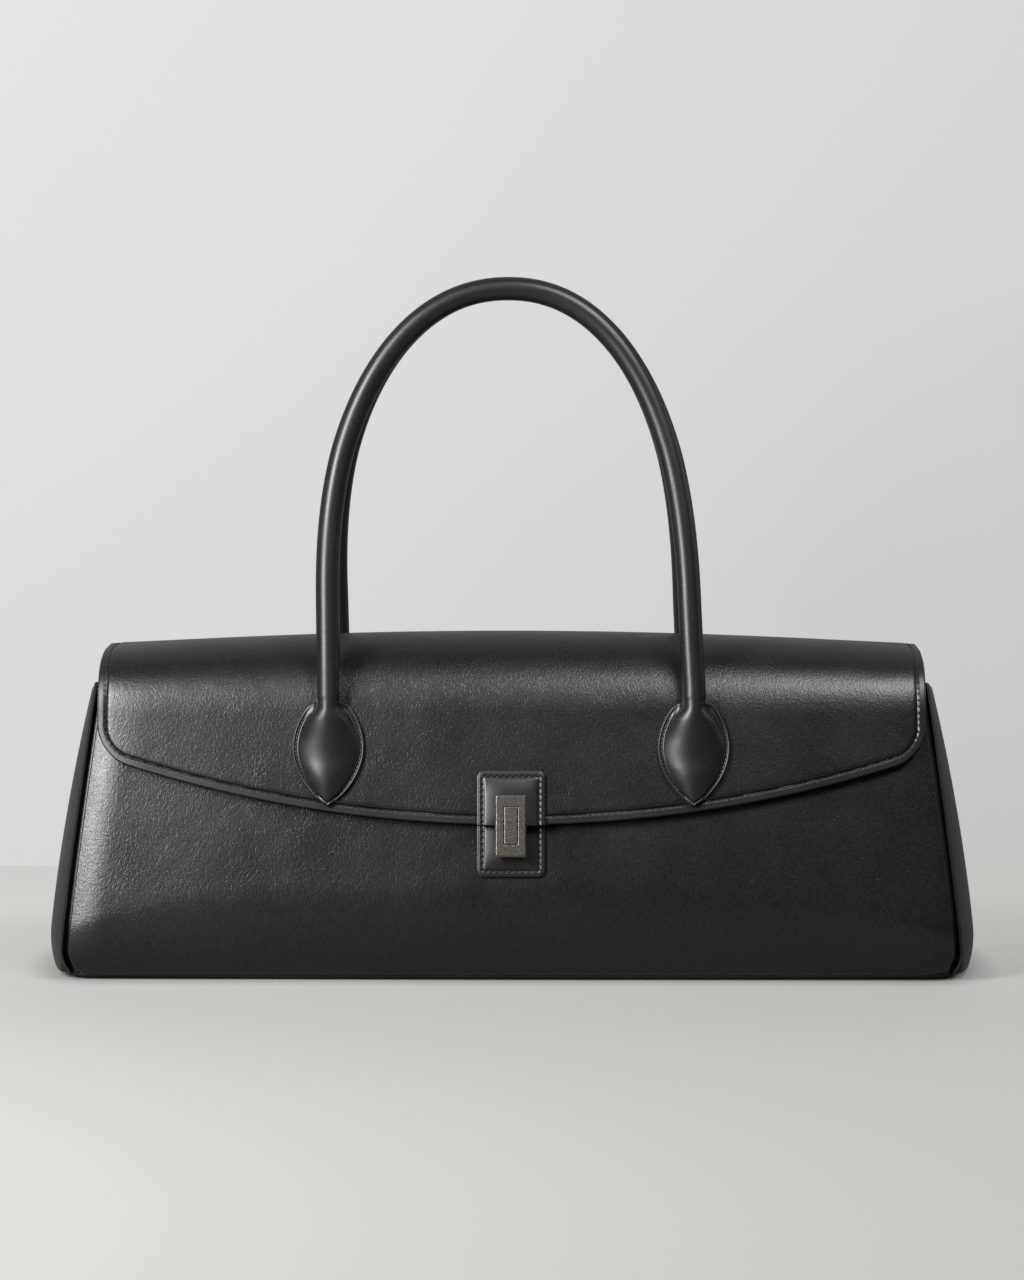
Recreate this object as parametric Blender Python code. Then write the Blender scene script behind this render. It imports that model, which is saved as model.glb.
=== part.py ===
# Top handle bag: a leather body with a flap, two rolled handles and a push lock.
# Metres, +Z up, the front towards -Y. The origin is under the middle of the base.

import math

import bmesh
import bpy
import numpy as np
from mathutils import Matrix, Vector

for old in list(bpy.data.objects):
    bpy.data.objects.remove(old)

mm = 0.001

# Body: outline of the seams and the lean of the front and back
rim_height = 120.0 * mm
base_half_width = 191.3 * mm
width_taper = 13.8 * mm
waist_half_depth = 54.4 * mm
waist_height = 44.0 * mm
lean = 0.232
tuck_depth = 14.5 * mm
belly_depth = 3.5 * mm
gusset_bulge = 10.0 * mm
gusset_bulge_loss = 5.8 * mm
gusset_foot_loss = 1.6 * mm
gusset_foot_height = 22.0 * mm
gusset_roundness = 2.4
seam_flange = 5.5 * mm
base_half_depth = 51.0 * mm
base_inset = 1.7 * mm
base_corner = 7.0 * mm
base_end_bulge = 5.0 * mm
board_inset = 8.6 * mm

# Leather and layers
panel_leather = 1.8 * mm
gusset_leather = 1.6 * mm
base_thickness = 3.3 * mm
board_thickness = 1.8 * mm
facing_thickness = 1.2 * mm
lining_thickness = 0.8 * mm
gap = 0.3 * mm
panel_bottom = base_thickness + gap
facing_drop = 26.0 * mm
lining_top = 98.0 * mm
lining_depth = 3.6 * mm

# Flap: hinge line, dome over the top, outline of the front fall
hinge_height = 129.5 * mm
hinge_gap = 1.6 * mm
flap_half_width = 176.0 * mm
flap_top = 144.3 * mm
flap_top_drop = 6.5 * mm
flap_top_y = -4.0 * mm
shoulder_height = 111.0 * mm
flap_edge = 66.9 * mm
flap_edge_radius = 562.0 * mm
flap_corner_radius = 19.0 * mm
flap_off_body = 4.3 * mm
flap_leather = 1.8 * mm
flap_lining_thickness = 0.8 * mm

# Handles
handle_half_span = 77.4 * mm
handle_radius = 5.0 * mm
handle_bore = 3.6 * mm
core_radius = 3.1 * mm
handle_apex = 292.2 * mm
handle_apex_y = 14.0 * mm
handle_arch_start = 160.0 * mm
handle_arch_power = 2.15
front_neck_height = 116.5 * mm
back_neck_height = 114.5 * mm
neck_length = 12.0 * mm
ball_radius = 4.2 * mm
stem_radius = 3.7 * mm
socket_rim = 2.6 * mm

# Chapes, the teardrop pads that hold the handles
chape_tip = 75.4 * mm
chape_widest = 99.2 * mm
chape_top = 112.0 * mm
chape_half_width = 14.9 * mm
chape_top_half_width = 11.3 * mm
chape_rim = 2.2 * mm
chape_rim_thickness = 1.8 * mm

# Lock: depths are measured into the bag from the plate's face
lock_height = 66.9 * mm
lock_off_body = 7.2 * mm
plate_width = 13.4 * mm
plate_height = 26.5 * mm
plate_bevel = 0.6 * mm
plate_corner = 0.5 * mm
plate_back = 0.95 * mm
case_width = 11.4 * mm
case_height = 24.3 * mm
case_back = 5.2 * mm
button_width = 5.7 * mm
button_height = 16.0 * mm
button_proud = 0.3 * mm
button_clearance = 0.2 * mm
cam_slope = 1.125
post_height = -6.2 * mm
post_head_radius = 2.0 * mm
post_stem_radius = 1.1 * mm
tab_half_width = 14.0 * mm
tab_top = 89.0 * mm
tab_bottom = 45.4 * mm
tab_corner = 2.4 * mm


# Materials
def material(name, colour, roughness, metallic=0.0):
    made = bpy.data.materials.new(name)
    made.use_nodes = True
    shader = made.node_tree.nodes["Principled BSDF"]
    shader.inputs["Base Color"].default_value = (*colour, 1.0)
    shader.inputs["Roughness"].default_value = roughness
    shader.inputs["Metallic"].default_value = metallic
    made.diffuse_color = (*colour, 1.0)
    return made


black_leather = material("black_leather", (0.018, 0.018, 0.019), 0.42)
gusset_black = material("gusset_leather", (0.020, 0.020, 0.021), 0.45)
inner_leather = material("inner_leather", (0.030, 0.029, 0.028), 0.55)
lining_cloth = material("lining_cloth", (0.045, 0.043, 0.042), 0.9)
board = material("board", (0.30, 0.24, 0.17), 0.9)
cotton_cord = material("cotton_cord", (0.62, 0.58, 0.50), 0.95)
gunmetal = material("gunmetal", (0.20, 0.19, 0.19), 0.35, 1.0)
steel = material("steel", (0.55, 0.55, 0.56), 0.30, 1.0)


def add_object(name, mesh, look, smooth_angle=40.0):
    made = bpy.data.objects.new(name, mesh)
    bpy.context.scene.collection.objects.link(made)
    mesh.materials.append(look)
    mesh.shade_smooth()
    mesh.set_sharp_from_angle(angle=math.radians(smooth_angle))
    return made


def mesh_from_bmesh(name, shape):
    bmesh.ops.recalc_face_normals(shape, faces=shape.faces)
    mesh = bpy.data.meshes.new(name)
    shape.to_mesh(mesh)
    shape.free()
    return mesh


# A leather panel: an outer and an inner skin, each a grid of points, joined round the rim.
def shell(name, outer, inner, look):
    rows, columns = outer.shape[:2]
    shape = bmesh.new()
    skins = []
    for skin in (outer, inner):
        skins.append([[shape.verts.new(tuple(p)) for p in row] for row in skin])
    for skin in skins:
        for i in range(rows - 1):
            for j in range(columns - 1):
                shape.faces.new((skin[i][j], skin[i][j + 1], skin[i + 1][j + 1], skin[i + 1][j]))
    rim = [(0, j) for j in range(columns)]
    rim += [(i, columns - 1) for i in range(1, rows)]
    rim += [(rows - 1, j) for j in range(columns - 2, -1, -1)]
    rim += [(i, 0) for i in range(rows - 2, 0, -1)]
    for (a, b), (c, d) in zip(rim, rim[1:] + rim[:1]):
        shape.faces.new((skins[0][a][b], skins[0][c][d], skins[1][c][d], skins[1][a][b]))
    return add_object(name, mesh_from_bmesh(name, shape), look)


# A stack of closed outlines with equal point counts, capped at both ends.
def stack(name, outlines, look, smooth_angle=40.0):
    shape = bmesh.new()
    rings = [[shape.verts.new(tuple(p)) for p in outline] for outline in outlines]
    for low, high in zip(rings, rings[1:]):
        for k in range(len(low)):
            n = (k + 1) % len(low)
            shape.faces.new((low[k], low[n], high[n], high[k]))
    shape.faces.new(rings[0])
    shape.faces.new(rings[-1])
    return add_object(name, mesh_from_bmesh(name, shape), look, smooth_angle)


# A pipe whose rings close on themselves: outer skin up, inner skin back down.
def pipe(name, rings, look):
    shape = bmesh.new()
    made = [[shape.verts.new(tuple(p)) for p in ring] for ring in rings]
    for low, high in zip(made, made[1:] + made[:1]):
        for k in range(len(low)):
            n = (k + 1) % len(low)
            shape.faces.new((low[k], low[n], high[n], high[k]))
    return add_object(name, mesh_from_bmesh(name, shape), look)


def cut(target, cutter, operation="DIFFERENCE"):
    cutter.hide_render = True
    cutter.display_type = "WIRE"
    change = target.modifiers.new(cutter.name, "BOOLEAN")
    change.operation = operation
    change.solver = "EXACT"
    change.object = cutter


# Outline of the body
def body_half_width(z):
    return base_half_width - width_taper * (np.maximum(z, 0.0) / rim_height) ** 1.2


def body_half_depth(z):
    under = np.clip(1.0 - z / waist_height, 0.0, 1.0)
    return waist_half_depth - lean * (z - waist_height) - tuck_depth * under ** 2.2


def body_surface(x, z, off=0.0):
    across = 1.0 - (x / body_half_width(z)) ** 2
    up = 0.45 + 0.55 * np.sin(math.pi * np.clip(z / rim_height, 0.0, 1.0))
    slant = math.sqrt(1.0 + lean * lean)
    return body_half_depth(z) + belly_depth * across * up + off * slant


# Front, back and facings: side is -1 at the front and +1 at the back
def wall_grid(side, low, high, off, margin, columns, rows):
    z = np.linspace(low, high, rows)[:, None] + np.zeros((1, columns))
    across = np.sin(np.linspace(-math.pi / 2, math.pi / 2, columns))[None, :]
    x = across * (body_half_width(z) - margin)
    return np.stack([x, side * body_surface(x, z, off), z], axis=-1)


def wall(name, side, low, high, off, thickness, margin, look, columns=13, rows=10):
    outer = wall_grid(side, low, high, off, margin, columns, rows)
    inner = wall_grid(side, low, high, off - thickness, margin, columns, rows)
    return shell(name, outer, inner, look)


back_top = hinge_height - hinge_gap
front_panel = wall(
    "front_panel", -1, panel_bottom, rim_height, 0.0, panel_leather, 0.0, black_leather
)
back_panel = wall("back_panel", 1, panel_bottom, back_top, 0.0, panel_leather, 0.0, black_leather)
facing_off = -(panel_leather + gap)
for side, name in ((-1, "front_facing"), (1, "back_facing")):
    wall(
        name,
        side,
        rim_height - facing_drop,
        rim_height - gap,
        facing_off,
        facing_thickness,
        15.0 * mm,
        inner_leather,
        columns=11,
        rows=4,
    )


# Gussets: a flange behind each panel's edge, then a side wall that bulges out
def gusset_bulge_at(z):
    foot = max(1.0 - z / gusset_foot_height, 0.0)
    return gusset_bulge - gusset_bulge_loss * (z / rim_height) ** 2.2 - gusset_foot_loss * foot**1.3


def gusset_wall_x(y, z):
    reach = body_half_depth(z) - panel_leather - gap
    full = 1.0 - np.abs(y / reach) ** gusset_roundness
    return body_half_width(z) - seam_flange + (seam_flange + gusset_bulge_at(z)) * full


def gusset_grid(side, outside, rows, steps):
    grid = []
    for z in np.linspace(panel_bottom, rim_height, rows):
        face = body_half_depth(z) - panel_leather - gap
        back = face - gusset_leather
        tip = body_half_width(z) - 0.2 * mm
        if outside:
            end = back
            drop = 0.0
        else:
            end = face
            drop = gusset_leather
        y = -end * np.sin(np.linspace(math.pi / 2, -math.pi / 2, steps))
        x = gusset_wall_x(np.clip(y, -back, back), z) - drop
        x = np.concatenate([[tip], x, [tip]])
        y = np.concatenate([[-end], y, [end]])
        grid.append(np.stack([side * x, y, np.full_like(x, z)], axis=-1))
    return np.array(grid)


for side, name in ((-1, "left_gusset"), (1, "right_gusset")):
    shell(name, gusset_grid(side, True, 9, 13), gusset_grid(side, False, 9, 13), gusset_black)


# Side facings: strips inside the top of each gusset
def side_strip(side, low, high, off, rows, steps):
    grid = []
    for z in np.linspace(low, high, rows):
        reach = body_half_depth(z) - 12.0 * mm
        y = np.linspace(-reach, reach, steps)
        x = gusset_wall_x(y, z) - gusset_leather - off
        grid.append(np.stack([side * x, y, np.full_like(x, z)], axis=-1))
    return np.array(grid)


for side, name in ((-1, "left_facing"), (1, "right_facing")):
    low = rim_height - facing_drop
    high = rim_height - gap
    outer = side_strip(side, low, high, gap, 4, 9)
    inner = side_strip(side, low, high, gap + facing_thickness, 4, 9)
    shell(name, outer, inner, inner_leather)


# Base: a panel set back a little under the body, its ends rounded like the gussets, and a board
def base_outline(inset, z, corner_points=4, end_points=9):
    depth = base_half_depth - inset
    width = base_half_width - base_inset - inset
    points = []
    for sx, sy in ((1, -1), (1, 1), (-1, 1), (-1, -1)):
        arc = []
        for t in np.linspace(0.0, math.pi / 2, corner_points):
            arc.append(
                (
                    sx * (width - base_corner + base_corner * math.sin(t)),
                    sy * (depth - base_corner + base_corner * math.cos(t)),
                )
            )
        if sx * sy > 0:
            arc.reverse()
        points += arc
        if sx * sy < 0:
            ends = np.linspace(-1.0, 1.0, end_points + 2)[1:-1] * (depth - base_corner) * sx
            for y in ends:
                full = 1.0 - abs(y / (depth - base_corner)) ** gusset_roundness
                points.append((sx * (width + base_end_bulge * full), y))
    return [(x, y, z) for x, y in points]


base_edge = 0.5 * mm
stack(
    "base_panel",
    [
        base_outline(base_edge, 0.0),
        base_outline(0.0, base_edge),
        base_outline(0.0, base_thickness - base_edge),
        base_outline(base_edge, base_thickness),
    ],
    black_leather,
)
board_low = base_thickness + gap
stack(
    "base_stiffener",
    [
        base_outline(board_inset, board_low),
        base_outline(board_inset, board_low + board_thickness),
    ],
    board,
)


# Lining: an open-topped bag that follows the walls inside
def lining_ring(z, inward, across_points=7, side_points=6):
    points = []
    half_depth = body_half_depth(z) - lining_depth - inward
    half_width = body_half_width(z) - seam_flange - gusset_leather - 1.2 * mm - inward
    reach = half_depth - 3.0 * mm
    for x in np.linspace(-half_width, half_width, across_points):
        points.append((x, -(body_surface(x, z) - lining_depth - inward), z))
    for y in np.linspace(-reach, reach, side_points):
        bulge = 0.75 * (seam_flange + gusset_bulge_at(z))
        points.append((half_width + 1.0 * mm + bulge * (1.0 - (y / reach) ** 2), y, z))
    half = points[:]
    return points + [(-x, -y, z) for x, y, z in half]


def lining_rings(inward, bottom):
    levels = np.concatenate([[bottom, bottom + 6.0 * mm], np.linspace(24.0 * mm, lining_top, 4)])
    rings = []
    for number, z in enumerate(levels):
        extra = 6.0 * mm if number == 0 else 0.0
        ring = lining_ring(max(z, 12.0 * mm), inward + extra)
        rings.append([(x, y, z) for x, y, _ in ring])
    return rings


lining_low = board_low + board_thickness + gap
outer_rings = lining_rings(0.0, lining_low)
inner_rings = lining_rings(lining_thickness, lining_low + lining_thickness)
stack("lining", outer_rings + inner_rings[::-1], lining_cloth)


# Flap profile at one width: up the front, over the top, down to the hinge
def flap_front_y(x, z, off):
    return -body_surface(x, z, off)


def bezier(a, b, c, d, t):
    t = t[:, None]
    return a * (1 - t) ** 3 + 3 * b * t * (1 - t) ** 2 + 3 * c * t**2 * (1 - t) + d * t**3


def flap_edge_height(x):
    arc = flap_edge + flap_edge_radius - math.sqrt(flap_edge_radius**2 - x * x)
    inner = flap_half_width - flap_corner_radius
    if abs(x) <= inner:
        return arc
    slope = inner / math.sqrt(flap_edge_radius**2 - inner**2)
    low = flap_edge + flap_edge_radius - math.sqrt(flap_edge_radius**2 - inner**2)
    along = min((abs(x) - inner) / flap_corner_radius, 1.0)
    rise = flap_corner_radius * (1.0 - math.sqrt(1.0 - along**2))
    return low + rise + slope * along * flap_corner_radius * 0.35


def flap_profile(x, off, fall_rows, front_rows, back_rows):
    wide = min(abs(x) / (172.0 * mm), 1.03)
    top = flap_top - flap_top_drop * wide**2 - (flap_off_body - off)
    low = flap_edge_height(x)
    z = np.linspace(low, shoulder_height, fall_rows)
    fall = np.stack([flap_front_y(x, z, off), z], axis=-1)
    start = fall[-1]
    crown = np.array([flap_top_y, top])
    back_y = body_surface(x, hinge_height + hinge_gap) - (flap_off_body - off)
    end = np.array([back_y, hinge_height + hinge_gap])
    rise = np.array([lean, 1.0]) / math.sqrt(1.0 + lean**2)
    fall_back = np.array([0.30, -0.954])
    across = np.array([1.0, 0.0])
    t = np.linspace(0.0, 1.0, front_rows)
    front = bezier(start, start + rise * 19.0 * mm, crown - across * 24.0 * mm, crown, t)
    t = np.linspace(0.0, 1.0, back_rows)
    back = bezier(crown, crown + across * 21.0 * mm, end - fall_back * 7.5 * mm, end, t)
    return np.concatenate([fall, front[1:], back[1:]])


def flap_grid(off, half_width, trim=0.0):
    columns = 21
    fall_rows, front_rows, back_rows = 5, 7, 6
    grid = []
    for a in np.linspace(-math.pi / 2, math.pi / 2, columns):
        x = half_width * math.sin(a)
        profile = flap_profile(x, off, fall_rows, front_rows, back_rows)
        if trim:
            z = np.linspace(flap_edge_height(x) + trim, shoulder_height, fall_rows)
            profile[:fall_rows] = np.stack([flap_front_y(x, z, off), z], axis=-1)
        grid.append([(x, y, z) for y, z in profile])
    return np.array(grid)


flap_outer = shell(
    "flap_outer",
    flap_grid(flap_off_body, flap_half_width),
    flap_grid(flap_off_body - flap_leather, flap_half_width),
    black_leather,
)
lining_off = flap_off_body - flap_leather - gap
lining_half_width = flap_half_width - 0.8 * mm
flap_lining = shell(
    "flap_lining",
    flap_grid(lining_off, lining_half_width, trim=0.8 * mm),
    flap_grid(lining_off - flap_lining_thickness, lining_half_width, trim=0.8 * mm),
    inner_leather,
)


# Tabs: the upper one lies on the flap, the lower one on the body
def tab_grid(low, high, off, round_top):
    grid = []
    count = 9
    heights = np.linspace(low, high, count)
    end = high if round_top else low
    for z in heights:
        near = abs(z - end)
        squeeze = 0.0
        if near < tab_corner:
            squeeze = tab_corner - math.sqrt(tab_corner**2 - (tab_corner - near) ** 2)
        half = tab_half_width - squeeze
        x = np.linspace(-half, half, 7)
        grid.append(np.stack([x, -body_surface(x, z, off), np.full_like(x, z)], axis=-1))
    return np.array(grid)


def tab(name, low, high, off, thickness, round_top):
    levels_outer = tab_grid(low, high, off, round_top)
    levels_inner = tab_grid(low, high, off - thickness, round_top)
    return shell(name, levels_outer, levels_inner, black_leather)


tab_leather = 1.4 * mm
flap_tab = tab(
    "flap_tab",
    flap_edge + 0.2 * mm,
    tab_top,
    flap_off_body + gap + tab_leather,
    tab_leather,
    True,
)
body_tab = tab("body_tab", tab_bottom, flap_edge - 0.9 * mm, gap + tab_leather, tab_leather, False)

# Lock frame: X across, Y into the bag, Z up the leaning front
lean_angle = math.atan(lean)
face_normal = Vector((0.0, -math.cos(lean_angle), math.sin(lean_angle)))
foot_height = lock_height - lock_off_body * face_normal.z
lock_origin = Vector((0.0, -float(body_surface(0.0, foot_height)), foot_height))
lock_origin += face_normal * lock_off_body
lock_frame = Matrix.Translation(lock_origin) @ Matrix.Rotation(-lean_angle, 4, "X")


def rounded_rectangle(width, height, radius, depth, up=0.0, points=4):
    outline = []
    for sx, sz, start in ((1, 1, 0.0), (-1, 1, 90.0), (-1, -1, 180.0), (1, -1, 270.0)):
        for t in np.linspace(start, start + 90.0, points):
            a = math.radians(t)
            x = sx * (width / 2 - radius) + radius * math.cos(a)
            z = sz * (height / 2 - radius) + radius * math.sin(a) + up
            outline.append((x, depth, z))
    return outline


def lock_piece(name, outlines, look):
    made = stack(name, outlines, look, 30.0)
    made.matrix_world = lock_frame
    return made


def lock_block(name, width, low, high, front, back, look=gunmetal, x=0.0):
    outline = [(-1, low), (1, low), (1, high), (-1, high)]
    rings = [[(x + sx * width / 2, depth, z) for sx, z in outline] for depth in (front, back)]
    return lock_piece(name, rings, look)


# A turned piece along the lock's depth: a list of (depth, radius)
def lock_turning(name, profile, x, z, look, sides=16):
    rings = []
    for depth, radius in profile:
        ring = []
        for k in range(sides):
            a = 2.0 * math.pi * k / sides
            ring.append((x + radius * math.cos(a), depth, z + radius * math.sin(a)))
        rings.append(ring)
    return lock_piece(name, rings, look)


# Lock case: bevelled plate in front, box behind, window for the button, open at the back
lock_case = lock_piece(
    "lock_case",
    [
        rounded_rectangle(
            plate_width - 2 * plate_bevel, plate_height - 2 * plate_bevel, 0.5 * plate_corner, 0.0
        ),
        rounded_rectangle(plate_width, plate_height, plate_corner, plate_bevel),
        rounded_rectangle(plate_width, plate_height, plate_corner, plate_back),
        rounded_rectangle(case_width, case_height, 0.8 * mm, plate_back),
        rounded_rectangle(case_width, case_height, 0.8 * mm, case_back),
    ],
    gunmetal,
)
cavity_width = 9.8 * mm
cavity_low = -11.2 * mm
cavity_high = 9.4 * mm
window_width = button_width + 2 * button_clearance
window_height = button_height + 2 * button_clearance
window = lock_piece(
    "window_cutter",
    [
        rounded_rectangle(window_width, window_height, 0.5 * mm, -1.0 * mm),
        rounded_rectangle(window_width, window_height, 0.5 * mm, 2.0 * mm),
    ],
    gunmetal,
)
cavity_front = 0.9 * mm
cavity = lock_block("cavity_cutter", cavity_width, cavity_low, cavity_high, cavity_front, 8.0 * mm)
cut(lock_case, window)
cut(lock_case, cavity)

# Lock button: face, flange behind the window, and a cam that lifts the latch
flange_front = 1.2 * mm
flange_back = 1.7 * mm
flange_low = -3.0 * mm
flange_high = 9.1 * mm
cam_back = 3.7 * mm
cam_low = 1.2 * mm
cam_corner = 2.0 * mm
lock_button = lock_piece(
    "lock_button",
    [
        rounded_rectangle(
            button_width - 0.5 * mm, button_height - 0.5 * mm, 0.2 * mm, -button_proud
        ),
        rounded_rectangle(button_width, button_height, 0.4 * mm, -button_proud + 0.25 * mm),
        rounded_rectangle(button_width, button_height, 0.4 * mm, 1.0 * mm),
    ],
    gunmetal,
)
flange = lock_block("flange_adder", 7.9 * mm, flange_low, flange_high, flange_front, flange_back)
neck_block = lock_block(
    "button_root_adder", 5.4 * mm, flange_low + 0.4 * mm, 7.6 * mm, 0.8 * mm, 1.4 * mm
)
cam_half = 2.0 * mm
cam_top = cam_corner + (cam_back - flange_back + 0.2 * mm) * cam_slope
cam_side = [
    (flange_back - 0.2 * mm, cam_low),
    (cam_back, cam_low),
    (cam_back, cam_corner),
    (flange_back - 0.2 * mm, cam_top),
]
cam = lock_piece(
    "cam_adder", [[(x, y, z) for y, z in cam_side] for x in (-cam_half, cam_half)], gunmetal
)
cut(lock_button, neck_block, "UNION")
cut(lock_button, flange, "UNION")
cut(lock_button, cam, "UNION")

# Latch: a plate that slides up the lock; its lower edge hooks over the post's head
latch_front = 3.6 * mm
latch_back = 4.3 * mm
latch_low = post_height + post_head_radius - 0.6 * mm
latch_high = 5.5 * mm
lock_latch = lock_block("lock_latch", 8.6 * mm, latch_low, latch_high, latch_front, latch_back, steel)
window_top = cam_corner + (cam_back - latch_front) * cam_slope + 0.18 * mm
ramp = (latch_back - latch_front) * cam_slope
over = 0.5 * mm
ramp_side = [
    (latch_front - over, 0.1 * mm),
    (latch_back + over, 0.1 * mm),
    (latch_back + over, window_top - ramp - over * cam_slope),
    (latch_front - over, window_top + over * cam_slope),
]
ramp_half = cam_half + 0.3 * mm
latch_window = lock_piece(
    "latch_window_cutter",
    [[(x, y, z) for y, z in ramp_side] for x in (-ramp_half, ramp_half)],
    steel,
)
cut(lock_latch, latch_window)

# Cover: closes the case behind the latch, slotted for the post
cover_front = 4.6 * mm
cover_back = 5.1 * mm
slot_half = post_head_radius + 0.5 * mm
cover_low = cavity_low + 0.2 * mm
lock_cover = lock_block(
    "lock_cover", cavity_width - 0.5 * mm, cover_low, cavity_high - 0.2 * mm, cover_front, cover_back, steel
)
cover_slot = lock_block(
    "cover_slot_cutter",
    2 * slot_half,
    cover_low - 1.0 * mm,
    post_height + slot_half,
    cover_front - 1.0 * mm,
    cover_back + 1.0 * mm,
)
cut(lock_cover, cover_slot)

# Post: a mushroom head that the latch holds, a stem through the tab and the panel
post_head_front = 2.2 * mm
post_head_back = 2.8 * mm
backing_front = lock_off_body + panel_leather + gap
backing_back = backing_front + 0.8 * mm
lock_turning(
    "strike_post",
    [
        (post_head_front, post_head_radius - 0.25 * mm),
        (post_head_front + 0.2 * mm, post_head_radius),
        (post_head_back, post_head_radius),
        (post_head_back, post_stem_radius),
        (backing_back, post_stem_radius),
    ],
    0.0,
    post_height,
    steel,
)
post_hole = lock_turning(
    "post_hole_cutter",
    [(4.0 * mm, post_stem_radius + gap), (12.0 * mm, post_stem_radius + gap)],
    0.0,
    post_height,
    steel,
)
strike_backing = lock_block(
    "strike_backing",
    14.0 * mm,
    post_height - 6.0 * mm,
    post_height + 6.0 * mm,
    backing_front,
    backing_back,
    steel,
)
for holed in (body_tab, front_panel, strike_backing):
    cut(holed, post_hole)

# Notch for the case in the flap's three layers
notch_half = case_width / 2 + gap
notch_high = case_height / 2 + gap
notch = lock_block(
    "notch_cutter", 2 * notch_half, -6.0 * mm, notch_high, 1.0 * mm, lock_off_body + 3.0 * mm
)
for layer in (flap_outer, flap_lining, flap_tab):
    cut(layer, notch)

# Clamp plate behind the flap and its two screws into the case
clamp_front = 6.1 * mm
clamp_back = 6.8 * mm
screw_height = 10.8 * mm
screw_half_span = 3.2 * mm
lock_clamp = lock_block(
    "lock_clamp", 17.0 * mm, 4.0 * mm, 14.5 * mm, clamp_front, clamp_back, steel
)
for side, name in ((-1, "lock_screw_left"), (1, "lock_screw_right")):
    x = side * screw_half_span
    lock_turning(
        name,
        [
            (3.4 * mm, 0.7 * mm),
            (clamp_front + 0.3 * mm, 0.7 * mm),
            (clamp_front + 0.3 * mm, 1.3 * mm),
            (clamp_back, 1.3 * mm),
        ],
        x,
        screw_height,
        steel,
        sides=12,
    )
    shank_hole = lock_turning(
        name + "_shank_cutter",
        [(3.2 * mm, 0.85 * mm), (8.0 * mm, 0.85 * mm)],
        x,
        screw_height,
        steel,
        sides=12,
    )
    head_hole = lock_turning(
        name + "_head_cutter",
        [(clamp_front + 0.15 * mm, 1.5 * mm), (8.0 * mm, 1.5 * mm)],
        x,
        screw_height,
        steel,
        sides=12,
    )
    cut(lock_case, shank_hole)
    cut(lock_clamp, shank_hole)
    cut(lock_clamp, head_hole)

# Latch spring: a coil between the latch and the top of the case
spring_radius = 0.7 * mm
spring_wire = 0.14 * mm
spring_turns = 5
spring_depth = 3.45 * mm
spring_low = latch_high + spring_wire + 0.1 * mm
spring_high = cavity_high - spring_wire - 0.1 * mm
coil = bpy.data.curves.new("latch_spring", "CURVE")
coil.dimensions = "3D"
coil.bevel_depth = spring_wire
coil.bevel_resolution = 0
coil.use_fill_caps = True
steps = spring_turns * 9
line = coil.splines.new("POLY")
line.points.add(steps)
for k in range(steps + 1):
    a = 2.0 * math.pi * spring_turns * k / steps
    z = spring_low + (spring_high - spring_low) * k / steps
    place = lock_frame @ Vector(
        (spring_radius * math.cos(a), spring_depth + spring_radius * math.sin(a), z)
    )
    line.points[k].co = (*place, 1.0)
latch_spring = bpy.data.objects.new("latch_spring", coil)
bpy.context.scene.collection.objects.link(latch_spring)
coil.materials.append(steel)


# Handles: a rolled tube on a leaning plane, with a cord core
def ring_at(centre, along, across, radius, sides):
    ring = []
    for k in range(sides):
        a = 2.0 * math.pi * k / sides
        ring.append(centre + across * (radius * math.cos(a)) + along * (radius * math.sin(a)))
    return ring


class HandlePlane:
    # side is -1 for the front handle and +1 for the back one
    def __init__(self, side, neck_y, neck_z):
        self.side = side
        self.root = Vector((0.0, side * neck_y, neck_z))
        top = Vector((0.0, side * handle_apex_y, handle_apex))
        self.up = (top - self.root).normalized()
        self.out = Vector((1.0, 0.0, 0.0)).cross(self.up)
        self.length = (top - self.root).length

    def at(self, x, s):
        return self.root + Vector((x, 0.0, 0.0)) + self.up * s


def handle_path(plane, start, steps=24):
    arch = (handle_arch_start - plane.root.z) / plane.up.z
    rise = plane.length - arch
    points = [(-handle_half_span, s) for s in np.linspace(start, arch, 4)[:-1]]
    for k in range(steps + 1):
        a = math.pi * k / steps
        c = -math.cos(a)
        x = handle_half_span * math.copysign(abs(c) ** (2 / handle_arch_power), c)
        points.append((x, arch + rise * max(math.sin(a), 0.0) ** (2 / handle_arch_power)))
    points += [(handle_half_span, s) for s in np.linspace(arch, start, 4)[1:]]
    return points


def sweep_rings(plane, path, radii, sides):
    rings = []
    for k, (x, s) in enumerate(path):
        before = path[max(k - 1, 0)]
        after = path[min(k + 1, len(path) - 1)]
        travel = Vector((after[0] - before[0], after[1] - before[1])).normalized()
        across = Vector((-travel.y, 0.0, 0.0)) + plane.up * travel.x
        rings.append(ring_at(plane.at(x, s), plane.out, across, radii[k], sides))
    return rings


def lathe(name, plane, x, profile, look, sides=10):
    rings = []
    for s, radius in profile:
        rings.append(ring_at(plane.at(x, s), plane.out, Vector((1.0, 0.0, 0.0)), radius, sides))
    return stack(name, rings, look)


def ball_profile(centre, stem, steps=4):
    profile = []
    low = -math.acos(stem / ball_radius)
    for a in np.linspace(low, math.radians(78.0), steps + 1):
        profile.append((centre + ball_radius * math.sin(a), ball_radius * math.cos(a)))
    return profile


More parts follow.
